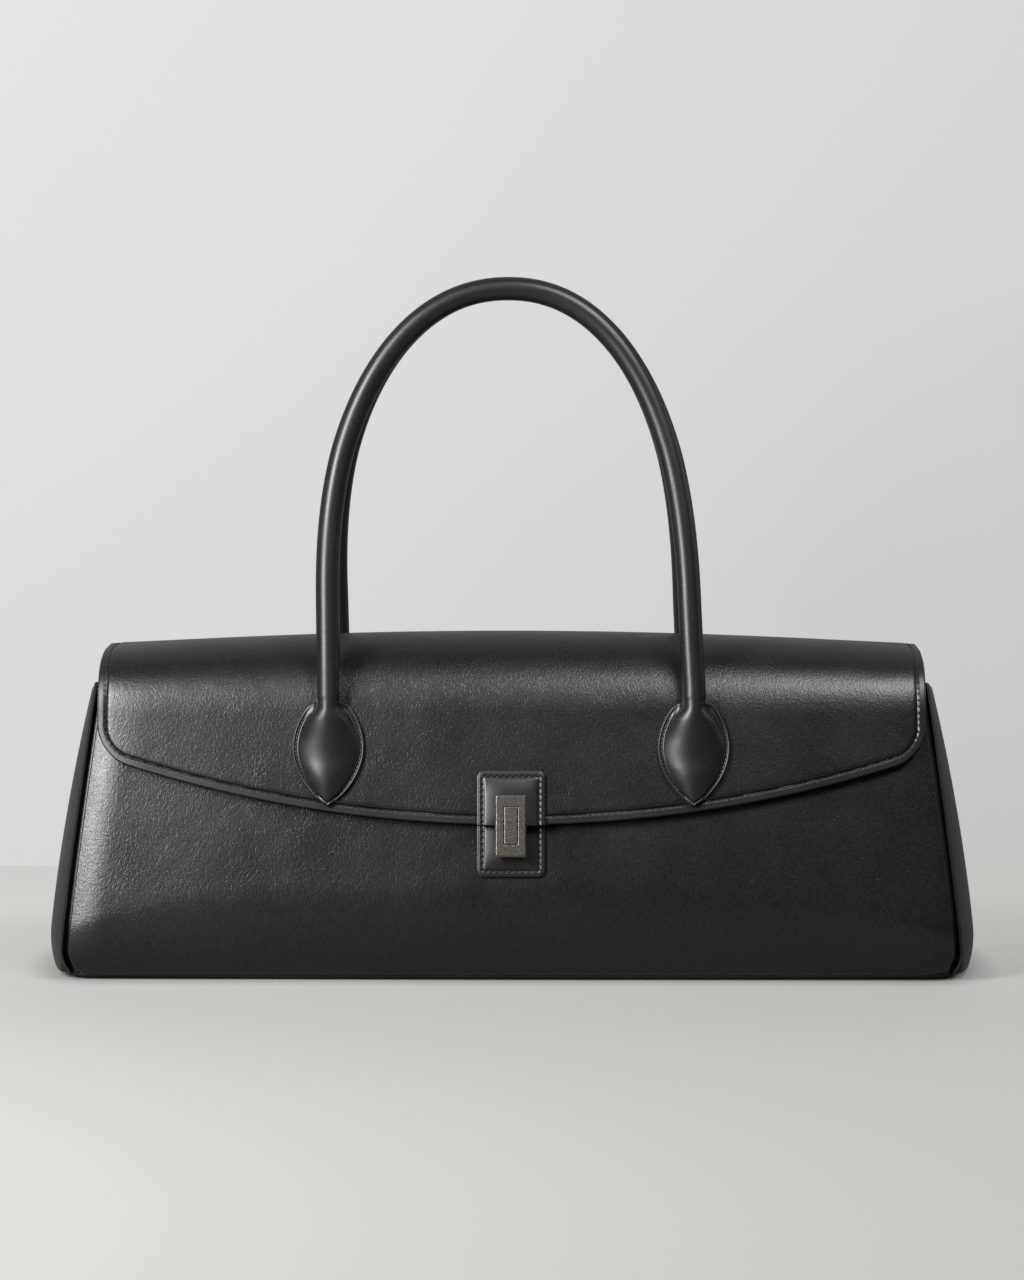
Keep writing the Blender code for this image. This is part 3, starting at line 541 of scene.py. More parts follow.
def baseRing(inset, z):
    # a rectangle with round corners; its short ends swell by 6.4 (1 - |t|^2.4), its long sides by
    # 1.7 (1 - t^2)
    depth = base["halfDepth"] - inset
    width = base["halfWidth"] - inset
    corner = base["corner"]
    t = np.linspace(-1, 1, 30)[1:-1]
    end = sideBySide(width + base["endBulge"] * (1 - np.abs(t) ** 2.4), t * (depth - corner))
    a = np.linspace(0, math.pi / 2, 10)
    arc = sideBySide(width - corner + corner * np.cos(a), depth - corner + corner * np.sin(a))
    t = np.linspace(1, -1, 60)[1:-1]
    side = sideBySide(t * (width - corner), depth + base["bow"] * (1 - t**2))
    half = joined(end, arc, side, arc[::-1] * [-1, 1])
    return sideBySide(*joined(half, -half).T, z)


# the base's edges are a quarter round of 1.6 mm, below and above
quarterTurn = np.linspace(0, math.pi / 2, 6)
rising = [(base["round"] * (1 - math.sin(a)), base["round"] * (1 - math.cos(a))) for a in quarterTurn]
baseRings = [baseRing(inset, z) for inset, z in rising]
baseRings += [baseRing(inset, base["thickness"] - z) for z, inset in rising]
basePiece = loftRings("basePanelLeather", baseRings, [sideCalf])
attach(basePiece, "bag_body", "black_leather", "base_panel")
print("base made")

# Flap and back, one skin
flap = {
    "halfWidth": 176.0,
    "edge": 66.9,
    "edgeRadius": 562.0,
    "corner": 12.5,
    "shoulder": 111.0,
    "top": 144.3,
    "topDrop": 6.5,
    "topY": -4.0,
    "offBody": 4.3,
    "leather": 1.8,
    "lining": 0.8,
    "liningGap": 0.05,
    "backEnd": 131.1,
    "stitchInset": 3.0,
    "stitchPitch": 2.7,
    "groove": (0.8, 0.5),  # depth and half width of the line pressed by the stitches
    "thinned": (0.34, 3.5),  # the edge is that much thinner, over that width from the band
    "threadDepth": 0.48,
    "stitchFree": 14.6,  # no stitches this near the middle, under the tab
    "endRoll": 1.6,
    "endRollWidth": 22.0,
    "band": 1.9,
    "layerStep": 0.55,  # the outer leather stops this far short of its lining
}
crown = {
    "halfWidth": 172.0,
    "fallPull": 19.0,  # how far the front curve runs straight on from the fall
    "frontPull": 24.0,  # and how far each curve lies level at the top
    "backPull": 21.0,
    "endPull": 7.5,  # and how far the back curve runs into the back panel
    "endWay": (-0.30, 0.954),
    "seamsFrom": 125.0,  # below this the back panel takes its seams' shape
    "turnRise": 26.0,  # the stitches turn from the fall's lean to the crown's way over this height
    "curve": (36.0, 0.75),  # the crown's way is (y from the top / 36, 0.75)
}
edgeCentre = flap["edge"] + flap["edgeRadius"]


def flapEdge(x, inset=0.0):
    # an arc of radius 562 that turns up into the side edge round a corner of 12.5, all inset alike
    side = np.clip(flap["halfWidth"] - inset - np.abs(x), 0, None)
    r = max(flap["corner"] - inset, 0.5)
    low = r - np.sqrt(r * r - np.clip(r - side, 0, r) ** 2)
    return edgeCentre - np.sqrt((flap["edgeRadius"] - inset - low) ** 2 - x * x)


def cornerDistance(side, end, r):
    # how far inside two edges a point lies, round the corner of radius r between them
    rounded = r - np.sqrt((r - side) ** 2 + (r - end) ** 2)
    return np.maximum(np.where((side < r) & (end < r), rounded, np.minimum(side, end)), 0.0)


def edgeDistance(x, z, v):
    # how far inside the flap's outline a point lies; above the fall only its side edges count
    below = np.where(v <= 1.0, flap["edgeRadius"] - np.sqrt(x**2 + (z - edgeCentre) ** 2), 60.0)
    return cornerDistance(flap["halfWidth"] - np.abs(x), below, flap["corner"])


def bezier(a, b, c, d, t):
    # a (1 - t)^3 + 3 b t (1 - t)^2 + 3 c t^2 (1 - t) + d t^3
    return a * (1 - t) ** 3 + 3 * b * t * (1 - t) ** 2 + 3 * c * t**2 * (1 - t) + d * t**3


def backHeight(v):
    # from 131.1 down to the panel's bottom as v goes from 3 to 4
    return flap["backEnd"] + (body["panelBottom"] - flap["backEnd"]) * np.clip(v - 3, 0, 1)


def flapPoint(x, v, off, trim=0.0):
    # v 0 to 1: the front fall; 1 to 2 and 2 to 3: two Bezier curves over the crown; 3 to 4: the back
    low = flapEdge(x, trim)
    shoulder, topY = flap["shoulder"], flap["topY"]
    fallZ = low + (shoulder - low) * np.clip(v, 0, 1)
    # the fall's side edges roll back 1.6 mm over their last 22 mm; the roll fades out over the crown
    start = flap["halfWidth"] - flap["endRollWidth"]
    roll = flap["endRoll"] * np.clip((np.abs(x) - start) / flap["endRollWidth"], 0, 1) ** 2
    fallY = -bodySurface(x, fallZ, off) + roll
    thin = flap["offBody"] - off
    wide = np.minimum(np.abs(x) / crown["halfWidth"], 1.03)
    crownZ = flap["top"] - flap["topDrop"] * wide**2 - thin
    startWay = np.array([body["lean"], 1.0]) / math.sqrt(1 + body["lean"] ** 2) * crown["fallPull"]
    startY = -bodySurface(x, shoulder, off)
    endY = bodySurface(x, flap["backEnd"]) - thin
    endZ = flap["backEnd"]
    t = np.clip(v - 1, 0, 1)
    frontY = bezier(startY, startY + startWay[0], topY - crown["frontPull"], topY, t) + roll * (1 - t) ** 2
    frontZ = bezier(shoulder, shoulder + startWay[1], crownZ, crownZ, t)
    t = np.clip(v - 2, 0, 1)
    endWay = np.array(crown["endWay"]) * crown["endPull"]
    backY = bezier(topY, topY + crown["backPull"], endY + endWay[0], endY, t)
    backZ = bezier(crownZ, crownZ, endZ + endWay[1], endZ, t)
    downZ = backHeight(v)
    rolled = sideRoll(x, downZ) * smoothStep((crown["seamsFrom"] - downZ) / 25)
    downY = bodySurface(x, downZ) - thin - rolled
    stretches = [v <= 1, v <= 2, v <= 3]
    y = np.select(stretches, [fallY, frontY, backY], downY)
    z = np.select(stretches, [fallZ, frontZ, backZ], downZ)
    return sideBySide(x, y, z)


def rowHalfWidth(v):
    # the flap's half width, and on the back the panel's own inside its seams
    downZ = backHeight(v)
    back = halfWidth(downZ) - body["seamInset"] * smoothStep((crown["seamsFrom"] - downZ) / 20)
    return np.where(v > 3, np.maximum(flap["halfWidth"], back), flap["halfWidth"])


def flapSkin(v, thickness, dressed):
    # the grid of the outer face, or of the inner one where thickness is above 0; dressed presses the
    # stitch line in by 0.8 exp(-((d - 3) / 0.5)^2), and by 0.34 more from there to the edge
    rows = v[:, None]
    x = crowdedSpan(201)[None, :] * rowHalfWidth(rows)
    front = np.clip(3.0 - rows, 0, 1)
    x = x - np.sign(x) * flap["layerStep"] * front * smoothStep((np.abs(x) - 150) / 20)
    plain = flapPoint(x, rows, flap["offBody"] - thickness, trim=flap["layerStep"])
    if not dressed:
        return plain
    d = edgeDistance(x, plain[..., 2], rows) - flap["layerStep"] * front
    loss, width = flap["thinned"]
    sunk = crease(d, flap["stitchInset"], flap["groove"]) + loss * (1 - rampUp(d, (flap["band"], width)))
    sunk = np.where(rows > 3.0, 0.0, sunk * smoothStep((3.05 - rows) / 0.2))
    return flapPoint(x, rows, flap["offBody"] - thickness - sunk, trim=flap["layerStep"])


def liningSkin(thickness):
    # the flap's own surface, a leather and a hair further in
    x = crowdedSpan(161)[None, :] * flap["halfWidth"]
    off = flap["offBody"] - flap["leather"] - flap["liningGap"] - thickness
    return flapPoint(x, liningRows[:, None], off)


def flapLevels(fall, front, back, rest):
    # v from the flap's edge to the back's foot: each stretch with its own count of rows
    return joined(fall, np.linspace(1, 2, front)[1:], np.linspace(2, 3, back)[1:], rest)


fallRows = np.linspace(0, 1, 70) ** 1.7
flapRows = flapLevels(fallRows, 30, 26, np.linspace(3, 4, 44)[1:])
liningRows = flapLevels(fallRows[::2], 22, 20, [3.03, 3.06])
flapFace = flapSkin(flapRows, 0.0, True)
flapBack = flapSkin(flapRows, flap["leather"], False)
# ironed flat between the stitches and the edge
cellRows = (flapRows[1:, None] + flapRows[:-1, None]) / 2
cellMiddle = (flapFace[1:, 1:] + flapFace[:-1, :-1]) / 2
fromEdge = edgeDistance(cellMiddle[..., 0], cellMiddle[..., 2], cellRows)
ironed = (fromEdge < flap["band"] + flap["layerStep"]) & (cellRows < 3)
outerSkin = closedShell("flapAndBackLeather", flapFace, flapBack, 0.45, [bodyCalf, sideCalf, paint], ironed)
liningSkins = liningSkin(0.0), liningSkin(flap["lining"])
flapLining = closedShell("flapLiningLeather", *liningSkins, 0.3, [innerCalf, paint])
print("flap skins made")

# The lock's case passes through a notch in the middle of the flap's edge
lockPlace = {"origin": (0.0, -59.99, 66.9), "leanAngle": math.atan(body["lean"])}
lockTurn = np.array(Matrix.Rotation(-lockPlace["leanAngle"], 3, "X"))
notchBox = {"low": (-6.0, 1.0, -6.0), "high": (6.0, 12.0, 12.5)}


def inLock(points):
    # lock frame (across, depth into the bag, up the face) to the bag's own
    return np.asarray(points, float) @ lockTurn.T + np.array(lockPlace["origin"])


def boxRings(low, high):
    # a rectangle across and up, at the near depth and at the far one
    x, z = [low[0], high[0], high[0], low[0]], [low[2], low[2], high[2], high[2]]
    return [inLock([(x[k], depth, z[k]) for k in range(4)]) for depth in (low[1], high[1])]


def cutAway(piece, cutter):
    # exact Boolean difference, kept in the mesh
    change = piece.modifiers.new("notch", "BOOLEAN")
    change.operation = "DIFFERENCE"
    change.solver = "EXACT"
    change.object = cutter
    bpy.context.view_layer.update()
    cut = bpy.data.meshes.new_from_object(piece.evaluated_get(bpy.context.evaluated_depsgraph_get()))
    piece.modifiers.clear()
    piece.data = cut


notch = loftRings("notchCutter", boxRings(notchBox["low"], notchBox["high"]), [paint])
for piece in (outerSkin, flapLining):
    cutAway(piece, notch)

# The latch's spring: a coil over the latch, in the lock's frame
spring = {"radius": 0.7, "wire": 0.14, "turns": 5, "depth": 3.45, "low": 5.74, "high": 9.16, "keep": 0.75}


def springRings():
    # the wire's circle carried along a helix: (r cos a, depth + r sin a, low + (high - low) a / last a)
    a = np.linspace(0, 2 * math.pi * spring["turns"], spring["turns"] * 16 + 1)
    rise = spring["low"] + (spring["high"] - spring["low"]) * a / a[-1]
    outward = sideBySide(np.cos(a), np.sin(a), 0.0)
    line = spring["radius"] * outward + sideBySide(0.0, spring["depth"], rise)
    across = np.cross(unit(np.gradient(line, axis=0)), outward)
    turn = (np.arange(8) * math.pi / 4)[None, :, None]
    circle = outward[:, None, :] * np.cos(turn) + across[:, None, :] * np.sin(turn)
    return inLock(line[:, None, :] + spring["wire"] * circle)


coil = loftRings("latchSpringWire", springRings(), [springSteel])
attach(coil, "flap", "steel", "latch_spring")
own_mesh(coil)

# The flap's skins have their placement baked into their meshes, and the CAD parts that they stand for are
# hidden
for piece, finish, names in (
    (outerSkin, "black_leather", ("flap_outer", "back_panel")),
    (flapLining, "inner_leather", ("flap_lining",)),
):
    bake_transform(piece)
    dress(piece, finish, *names)


def flapStitchPath():
    # up the back of one side, over, round the front edge, and back over the other side
    inset, off = flap["stitchInset"], flap["offBody"] - flap["threadDepth"]
    reach = flap["halfWidth"] - inset
    x = crowdedSpan(601) * reach
    front = flapPoint(x, np.zeros_like(x), off, trim=inset)
    v = joined(np.linspace(0, 1, 40), np.linspace(1, 3.0, 90)[1:])
    right = flapPoint(np.full_like(v, reach), v, off, trim=inset)
    left = right * [-1, 1, 1]
    return joined(left[:0:-1], front, right[1:])


def skinNormals(at):
    # square to the flap: from the front fall's lean over the crown's curve to the back
    turn = np.clip((at[:, 2] - flap["shoulder"]) / crown["turnRise"], 0, 1)[:, None]
    over = sideBySide(0.0, (at[:, 1] - flap["topY"]) / crown["curve"][0], crown["curve"][1])
    return unit(faceOut * (1 - turn) + over * turn)


# The thread is 0.6 mm on the real bag, and 0.74 mm on the flap here, so that it shows
flapStitch = {"length": 1.8, "width": 0.74, "height": 0.74, "dip": 0.5}
at, along = resample(flapStitchPath(), flap["stitchPitch"])
clear = (np.abs(at[:, 0]) > flap["stitchFree"]) | (at[:, 1] > flap["topY"])
at, along = at[clear], along[clear]
flapThread = stitches("flapStitching", at, along, skinNormals(at), flapStitch, slant=0.16)
attach(flapThread, "flap", "black_leather")
print("flap stitched:", len(at), "stitches")

# Tabs under the lock
tab = {
    "halfWidth": 14.0,
    "corner": 2.6,
    "leather": 1.4,
    "rim": 2.5,
    "dome": 1.3,
    "domePower": 2.6,
    "domeSlope": 9.0,
    "groove": (0.5, 0.6),
    "edgeRound": (0.30, 0.9),
    "stitchInset": 1.7,
    "stitchStart": 1.2,
    "pitch": 2.65,
    "gap": 0.3,  # between the tab and what it lies on
    "threadDepth": 0.12,
}


def tabGrid(low, high, off, roundTop, outside):
    # rows from the low end to the high one, as wide as the outline; the far end has round corners
    z = (low + (high - low) * (crowdedSpan(60) * 0.5 + 0.5))[:, None]
    end = high - z if roundTop else z - low
    r = tab["corner"]
    squeeze = r - np.sqrt(r * r - np.clip(r - end, 0, r) ** 2)
    x = crowdedSpan(61)[None, :] * (tab["halfWidth"] - squeeze)
    if outside:
        near = z - low if roundTop else high - z
        d = cornerDistance(tab["halfWidth"] - np.abs(x), end, r)
        # 1.3 (1 - |x / 11.5|^2.6) (1 - a^2.6) (1 - b^2.6), a and b falling from 1 over 9 mm from each end
        inner = np.abs(x) / (tab["halfWidth"] - tab["rim"])
        slopes = ((end, tab["rim"]), (near, -4.0))
        ends = [1 - np.clip((reach - gap) / tab["domeSlope"], 0, 1) for reach, gap in slopes]
        dome = tab["dome"]
        for t in (inner, *ends):
            dome = dome * np.clip(1 - t ** tab["domePower"], 0, 1)
        off = off + dome - crease(d, tab["rim"] - 0.5, tab["groove"]) - crease(d, 0.0, tab["edgeRound"])
    return sideBySide(x, -bodySurface(x, z, off), z)


def tabStitchPath(low, high, off, roundTop):
    # a U, tab["stitchInset"] inside the outline
    inset = tab["stitchInset"]
    half = tab["halfWidth"] - inset
    r = max(tab["corner"] - inset, 0.3)
    far = high - inset if roundTop else low + inset
    start = low + tab["stitchStart"] if roundTop else high - tab["stitchStart"]
    sign = 1 if roundTop else -1
    a = np.linspace(0, math.pi / 2, 8)
    corner = sideBySide(half - r + r * np.cos(a), far - sign * (r - r * np.sin(a)))
    leg = joined([[half, start]], corner)
    x, z = joined(leg, leg[::-1] * [-1, 1]).T
    return sideBySide(x, -bodySurface(x, z, off), z)


tabOff = tab["leather"] + tab["gap"]
tabStitch = {"length": 2.1, "width": 0.7, "height": 0.8, "dip": 0.35}
for word, low, high, off, roundTop, rider in (
    ("flap", flap["edge"] + 0.3, 89.0, flap["offBody"] + tabOff, True, "flap"),
    ("body", 45.4, flap["edge"] - 0.9, tabOff, False, "bag_body"),
):
    face = tabGrid(low, high, off, roundTop, True)
    back = tabGrid(low, high, off - tab["leather"], roundTop, False)
    made = closedShell(word + "TabLeather", face, back, 0.45, [sideCalf, paint])
    if word == "flap":
        cutAway(made, notch)
    attach(made, rider, "black_leather", word + "_tab")
    at, along = resample(tabStitchPath(low, high, off - tab["threadDepth"], roundTop), tab["pitch"])
    out = np.tile(faceOut, (len(at), 1))
    sewn = stitches(word + "TabStitching", at, along, out, tabStitch, slant=0.35)
    attach(sewn, rider, "black_leather")
bpy.data.objects.remove(notch)
print("tabs made")

# Handles and chapes
handle = {
    "halfSpan": 77.4,
    "radius": 5.0,
    "cordRadius": 3.1,
    "gap": 0.6,  # between the tube and the face behind it
    "apex": 292.2,
    "apexY": 14.0,
    "archStart": 160.0,
    "archPower": 2.15,
    "neckLength": 12.0,
    "skinSplit": 6.0,  # the chape's skin ends and the handle's begins this far up the neck
    "sides": 32,
    "bend": 4.0,
    "freeFrom": 8.0,  # wear shows from this far up the neck
    "drawn": 0.009,
    "drift": -2.4,
    "driftBack": 0.3,
}
# a pair is a height and how many millimetres the change that starts there takes
chape = {
    "tip": 74.6,
    "widest": 99.2,
    "halfWidth": 15.5,
    "topLoss": 10.5,
    "outlineTop": 121.5,
    "closes": (117.0, 3.4),
    "leather": 1.8,
    "rim": 2.3,
    "domeNarrows": (111.0, 8.0),
    "domeRounds": (102.0, 13.0),
    "domeNeck": 5.15,
    "tipCrest": 2.0,
    "padCrest": 6.1,
    "padRise": 18.0,
    "crest": 10.6,
    "crestRises": (92.0, 26.0),
    "stitchInset": 1.55,
    "stitchEnd": 113.0,
    "groove": (0.75, 0.5),
    "grooveFades": (110.0, 5.0),
    "edgeRound": 0.8,
    "rimShare": 0.62,  # the rim takes no more than this share of the half width,
    "domeKeeps": 6.2,  # and leaves the dome this much where it can
    "fillet": (1.5, 1.1),  # beside the neck: 1.5 exp(-distance / 1.1)
    "pitch": 1.8,
    "turnsToTube": (115.0, 5.5),
    "lowered": (100.0, 15.0),  # where the back chapes take up that they end lower
}
chapeStitch = {"length": 1.5, "width": 0.6, "height": 0.7, "dip": 0.3}


def handlePlane(side, off, lift, rootZ):
    # the plane that a handle lies in: its root, the way up it, and the way out of the bag; its
    # chapes lie off the body's face and end lift lower than the front ones
    rootY = bodySurface(handle["halfSpan"], rootZ, off) + handle["radius"] + handle["gap"]
    root = np.array([0.0, side * rootY, rootZ])
    top = np.array([0.0, side * handle["apexY"], handle["apex"]])
    up = unit(top - root)
    out = np.cross([1.0, 0.0, 0.0], up) * (-side)
    length = float(np.linalg.norm(top - root))
    return {"side": side, "off": off, "lift": lift, "root": root, "up": up, "out": out, "length": length}


def onPlane(plane, x, s):
    # root + x across + s up
    return plane["root"] + np.multiply.outer(x, [1.0, 0.0, 0.0]) + np.multiply.outer(s, plane["up"])


def onFace(plane, x, z, off):
    # a point that far off what the handle is sewn to
    return sideBySide(x, plane["side"] * (bodySurface(x, z, plane["off"]) + off), z)


def handleLine(plane, start):
    # two straight legs and a superellipse of power 2.15 between them: |x/a|^p + |s/b|^p = 1
    arch = (handle["archStart"] - plane["root"][2]) / plane["up"][2]
    a = np.linspace(0, math.pi, 120)
    c = -np.cos(a)
    power = 2 / handle["archPower"]
    archX = handle["halfSpan"] * np.sign(c) * np.abs(c) ** power
    archS = arch + (plane["length"] - arch) * np.clip(np.sin(a), 0, None) ** power
    legs = np.linspace(start, arch, 16)[:-1]
    x = joined(np.full(15, -handle["halfSpan"]), archX, np.full(15, handle["halfSpan"]))
    s = joined(legs, archS, legs[::-1])
    # worn in: the legs draw together by 0.9 percent over 100 mm, and the arch leans 2.4 mm to one side
    # over 110 mm, of which it takes back 0.3 over the next 60 mm
    free = s - handle["freeFrom"]
    x = x * (1 - handle["drawn"] * np.sin(math.pi * np.clip(free / 100, 0, 1)))
    back = handle["driftBack"] * np.clip((free - 110) / 60, 0, 1) ** 2
    return x + handle["drift"] * np.sin(math.pi / 2 * np.clip(free / 110, 0, 1)) * (1 - back), s


def tube(name, plane, start, radius, materials):
    # a circle carried along the handle's line, square to it
    x, s = handleLine(plane, start)
    travel = unit(np.gradient(sideBySide(x, s), axis=0))
    across = np.multiply.outer(-travel[:, 1], [1.0, 0.0, 0.0]) + np.multiply.outer(travel[:, 0], plane["up"])
    angle = (np.arange(handle["sides"]) * 2 * math.pi / handle["sides"])[None, :, None]
    circle = across[:, None, :] * np.cos(angle) + plane["out"] * np.sin(angle)
    return loftRings(name, onPlane(plane, x, s)[:, None, :] + radius * circle, materials)


def bendAt(piece):
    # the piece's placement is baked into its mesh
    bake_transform(piece)


def chapeHalfWidth(z):
    # a leaf: 15.5 (1 - (1 - t)^2)^0.8 up to its widest, then 15.5 - 10.5 t^1.9, closed behind the tube
    t = np.clip((z - chape["tip"]) / (chape["widest"] - chape["tip"]), 0, 1)
    low = chape["halfWidth"] * (1 - (1 - t) ** 2) ** 0.8
    t = np.clip((z - chape["widest"]) / (chape["outlineTop"] - chape["widest"]), 0, 1)
    high = chape["halfWidth"] - chape["topLoss"] * t**1.9
    high = handle["radius"] + (high - handle["radius"]) * (1 - rampUp(z, chape["closes"]))
    return np.maximum(np.where(z < chape["widest"], low, high), 0.25)


def chapeSlant(z):
    # the outline's length per mm of height, so that a rim and a seam keep their distance from it
    slope = np.gradient(chapeHalfWidth(z), z)
    return np.minimum(np.sqrt(1 + slope**2), 3.0)


def chapeSection(z):
    # one row of points across the pad per height: x, height off the face, and the angle that each
    # point takes round the tube. A rim, a valley that opens as the dome narrows, and the dome:
    # (crest - leather) (1 - (x / dome)^2)^p with p from 0.92, a ridge, to 0.5, a tube
    width = chapeHalfWidth(z)[:, None]
    slant = chapeSlant(z)[:, None]
    z = z[:, None]
    rim = np.minimum(chape["rim"] * slant, chape["rimShare"] * width)
    rim = np.minimum(rim, np.maximum(width - chape["domeKeeps"], 0.3 * width))
    narrow = rampUp(z, chape["domeNarrows"])
    full = (width - rim) * 0.97
    dome = full * (1 - narrow) + np.minimum(chape["domeNeck"], full) * narrow
    share = np.array([0.0, 0.05, 0.12, 0.22, 0.34, 0.46, 0.56, 0.66, 0.74, 0.82, 0.91])[None, :]
    valley = np.linspace(0, 1, 8)[None, :-1]
    rimX = width - share * rim
    valleyX = (width - rim) * (1 - valley) + dome * valley
    domeX = np.cos(np.linspace(0, math.pi, 41))[None, :] * dome
    x = joined(rimX, valleyX, domeX, -valleyX[:, ::-1], -rimX[:, ::-1], axis=1)
    true = (width - np.abs(x)) / slant
    # the crest: 2 + 4.1 (1 - (1 - t)^2.2) over the first 18 mm, then a long smooth step up to the tube
    t = np.clip((z - chape["tip"]) / chape["padRise"], 0, 1)
    crest = chape["tipCrest"] + (chape["padCrest"] - chape["tipCrest"]) * (1 - (1 - t) ** 2.2)
    crest = crest + (chape["crest"] - chape["padCrest"]) * rampUp(z, chape["crestRises"])
    edge = np.sqrt(1 - (1 - np.clip(true / chape["edgeRound"], 0, 1)) ** 2)
    groove = crease(true, chape["stitchInset"] + 0.1, chape["groove"]) * (1 - rampUp(z, chape["grooveFades"]))
    inner = np.clip(1 - (x / dome) ** 2, 0, 1)
    beside = np.clip(np.abs(x) - dome, 0, None)
    fillet = narrow * chape["fillet"][0] * np.exp(-beside / chape["fillet"][1]) * (crest > 5)
    power = 0.92 - 0.42 * rampUp(z, chape["domeRounds"])
    rise = (crest - chape["leather"] - fillet) * inner**power + fillet
    height = chape["leather"] * edge - groove + np.where(np.abs(x) <= dome, rise, fillet)
    side = joined(np.linspace(2.1, 1.85, 11), np.linspace(1.85, math.pi / 2, 8)[:-1])
    angle = joined(side, np.linspace(math.pi / 2, -math.pi / 2, 41), -side[::-1])
    return x, height, angle


def chapeRings(plane, xCentre, level):
    # each ring: the pad's front, right rim to left rim, then its flat back; high up it turns
    # into the tube's circle: (1 - m) pad + m tube, m = smooth step over 5.5 mm
    tip, lift = chape["tip"], plane["lift"]
    z = joined(np.linspace(tip + 0.05, tip + 4, 12)[:-1], np.linspace(tip + 4, level, 90))
    x, height, frontAngle = chapeSection(z + lift * rampUp(z, chape["lowered"]))
    back = np.linspace(-1, 1, 23)[None, 1:-1] * np.abs(x[:, :1])
    ringX = joined(x, back, axis=1)
    ringH = joined(height, np.zeros_like(back), axis=1) + 0.04
    pad = onFace(plane, xCentre + ringX, z[:, None], ringH)
    angle = joined(frontAngle, np.linspace(-2.1, 2.1 - 2 * math.pi, 23)[1:-1])[None, :, None]
    s = (z - plane["root"][2]) / plane["up"][2]
    centre = onPlane(plane, np.full(len(z), xCentre), s)[:, None, :]
    circle = np.sin(angle) * np.array([1.0, 0, 0]) + np.cos(angle) * plane["out"]
    m = rampUp(z + lift, chape["turnsToTube"])[:, None, None]
    return pad * (1 - m) + (centre + handle["radius"] * circle) * m


def chapeStitches(name, plane, xCentre):
    # along both edges of the leaf, 1.55 mm inside it, from the tip to where the pad turns into tube
    z = np.linspace(chape["tip"] + 2.6, chape["stitchEnd"] - plane["lift"], 160)
    x = chapeHalfWidth(z) - chape["stitchInset"] * chapeSlant(z)
    left, right = (
        resample(onFace(plane, xCentre + turn * x, z, chape["leather"] - 0.6), chape["pitch"])
        for turn in (-1, 1)
    )
    at = joined(left[0], right[0])
    along = joined(left[1], -right[1])
    out = np.tile(faceOut * [1, -plane["side"], 1], (len(at), 1))
    return stitches(name, at, along, out, chapeStitch, slant=0.5)


for word, side, off, rootZ, carrier, lift in (
    ("front", -1, flap["offBody"], 116.5, "flap", 0.0),
    ("back", 1, 0.0, 114.5, "bag_body", 2.0),
):
    plane = handlePlane(side, off, lift, rootZ)
    necks, top = word + "_necks", word + "_handle"
    skin = tube(word + "HandleLeather", plane, handle["skinSplit"], handle["radius"], [sideCalf])
    start = handle["neckLength"] + handle["bend"]
    cord = tube(word + "HandleCord", plane, start, handle["cordRadius"], [cottonCord])
    attach(cord, top, "cotton_cord", word + "_handle_core")
    bendAt(skin)
    dress(skin, "black_leather", word + "_handle")
    level = plane["root"][2] + handle["skinSplit"] * plane["up"][2]
    for xCentre, hand in ((-handle["halfSpan"], "left"), (handle["halfSpan"], "right")):
        title = f"{word}{hand.capitalize()}Chape"
        pad = loftRings(title + "Leather", chapeRings(plane, xCentre, level), [sideCalf])
        bendAt(pad)
        dress(pad, "black_leather", f"{word}_{hand}_chape", f"{word}_{hand}_neck")
        attach(chapeStitches(title + "Stitching", plane, xCentre), carrier, "black_leather")
print("handles and chapes made")

# Inside: facings and lining
inside = {
    "facingLow": 94.0,
    "facingHigh": 119.6,
    "facing": 1.2,
    "facingGap": 2.1,  # from the body's outer face
    "sideGap": 0.3,  # from the gusset's inner face
    "liningTop": 98.0,
    "liningFoot": 5.8,
    "footRound": 6.0,
    "lining": 0.8,
    "cloth": 3.6,
    "wallFrom": 16.0,  # the lining's walls stand straight above this
    "shapeFrom": 12.0,  # and take the body's shape from here up
    "endGap": 1.2,
    "endGrowth": 1.0,
    "cornerGap": 3.0,
    "rollShare": 0.8,  # shares of the panels' roll and of the gussets' bulge
    "bulgeShare": 0.75,
}


def facingGrid(side, under):
    # a strip below the rim, 15 mm short of each side seam, that far under the body's face
    z = np.linspace(inside["facingLow"], inside["facingHigh"], 16)[:, None]
    x = np.linspace(-1, 1, 80)[None, :] * (halfWidth(z) - 15)
    return sideBySide(x, side * (bodySurface(x, z, -under) - sideRoll(x, z)), z)


def sideFacingGrid(side, under):
    # the same strip inside the gusset, 12 mm short of the front and the back
    z = np.linspace(inside["facingLow"], inside["facingHigh"], 14)[:, None]
    y = np.linspace(-1, 1, 30)[None, :] * (halfDepth(z) - 12)
    reach = flangeFace(halfWidth(z) - gusset["flange"], z) - gusset["leather"]
    x = gussetWall(y, z, reach) - gusset["leather"] - under
    return sideBySide(side * x, y, z)


for word, side, grid, gap in (
    ("front", -1, facingGrid, inside["facingGap"]),
    ("back", 1, facingGrid, inside["facingGap"]),
    ("left", -1, sideFacingGrid, inside["sideGap"]),
    ("right", 1, sideFacingGrid, inside["sideGap"]),
):
    skins = grid(side, gap), grid(side, gap + inside["facing"])
    made = closedShell(word + "FacingLeather", *skins, 0.3, [innerCalf, paint])
    attach(made, "bag_body", "inner_leather", word + "_facing")


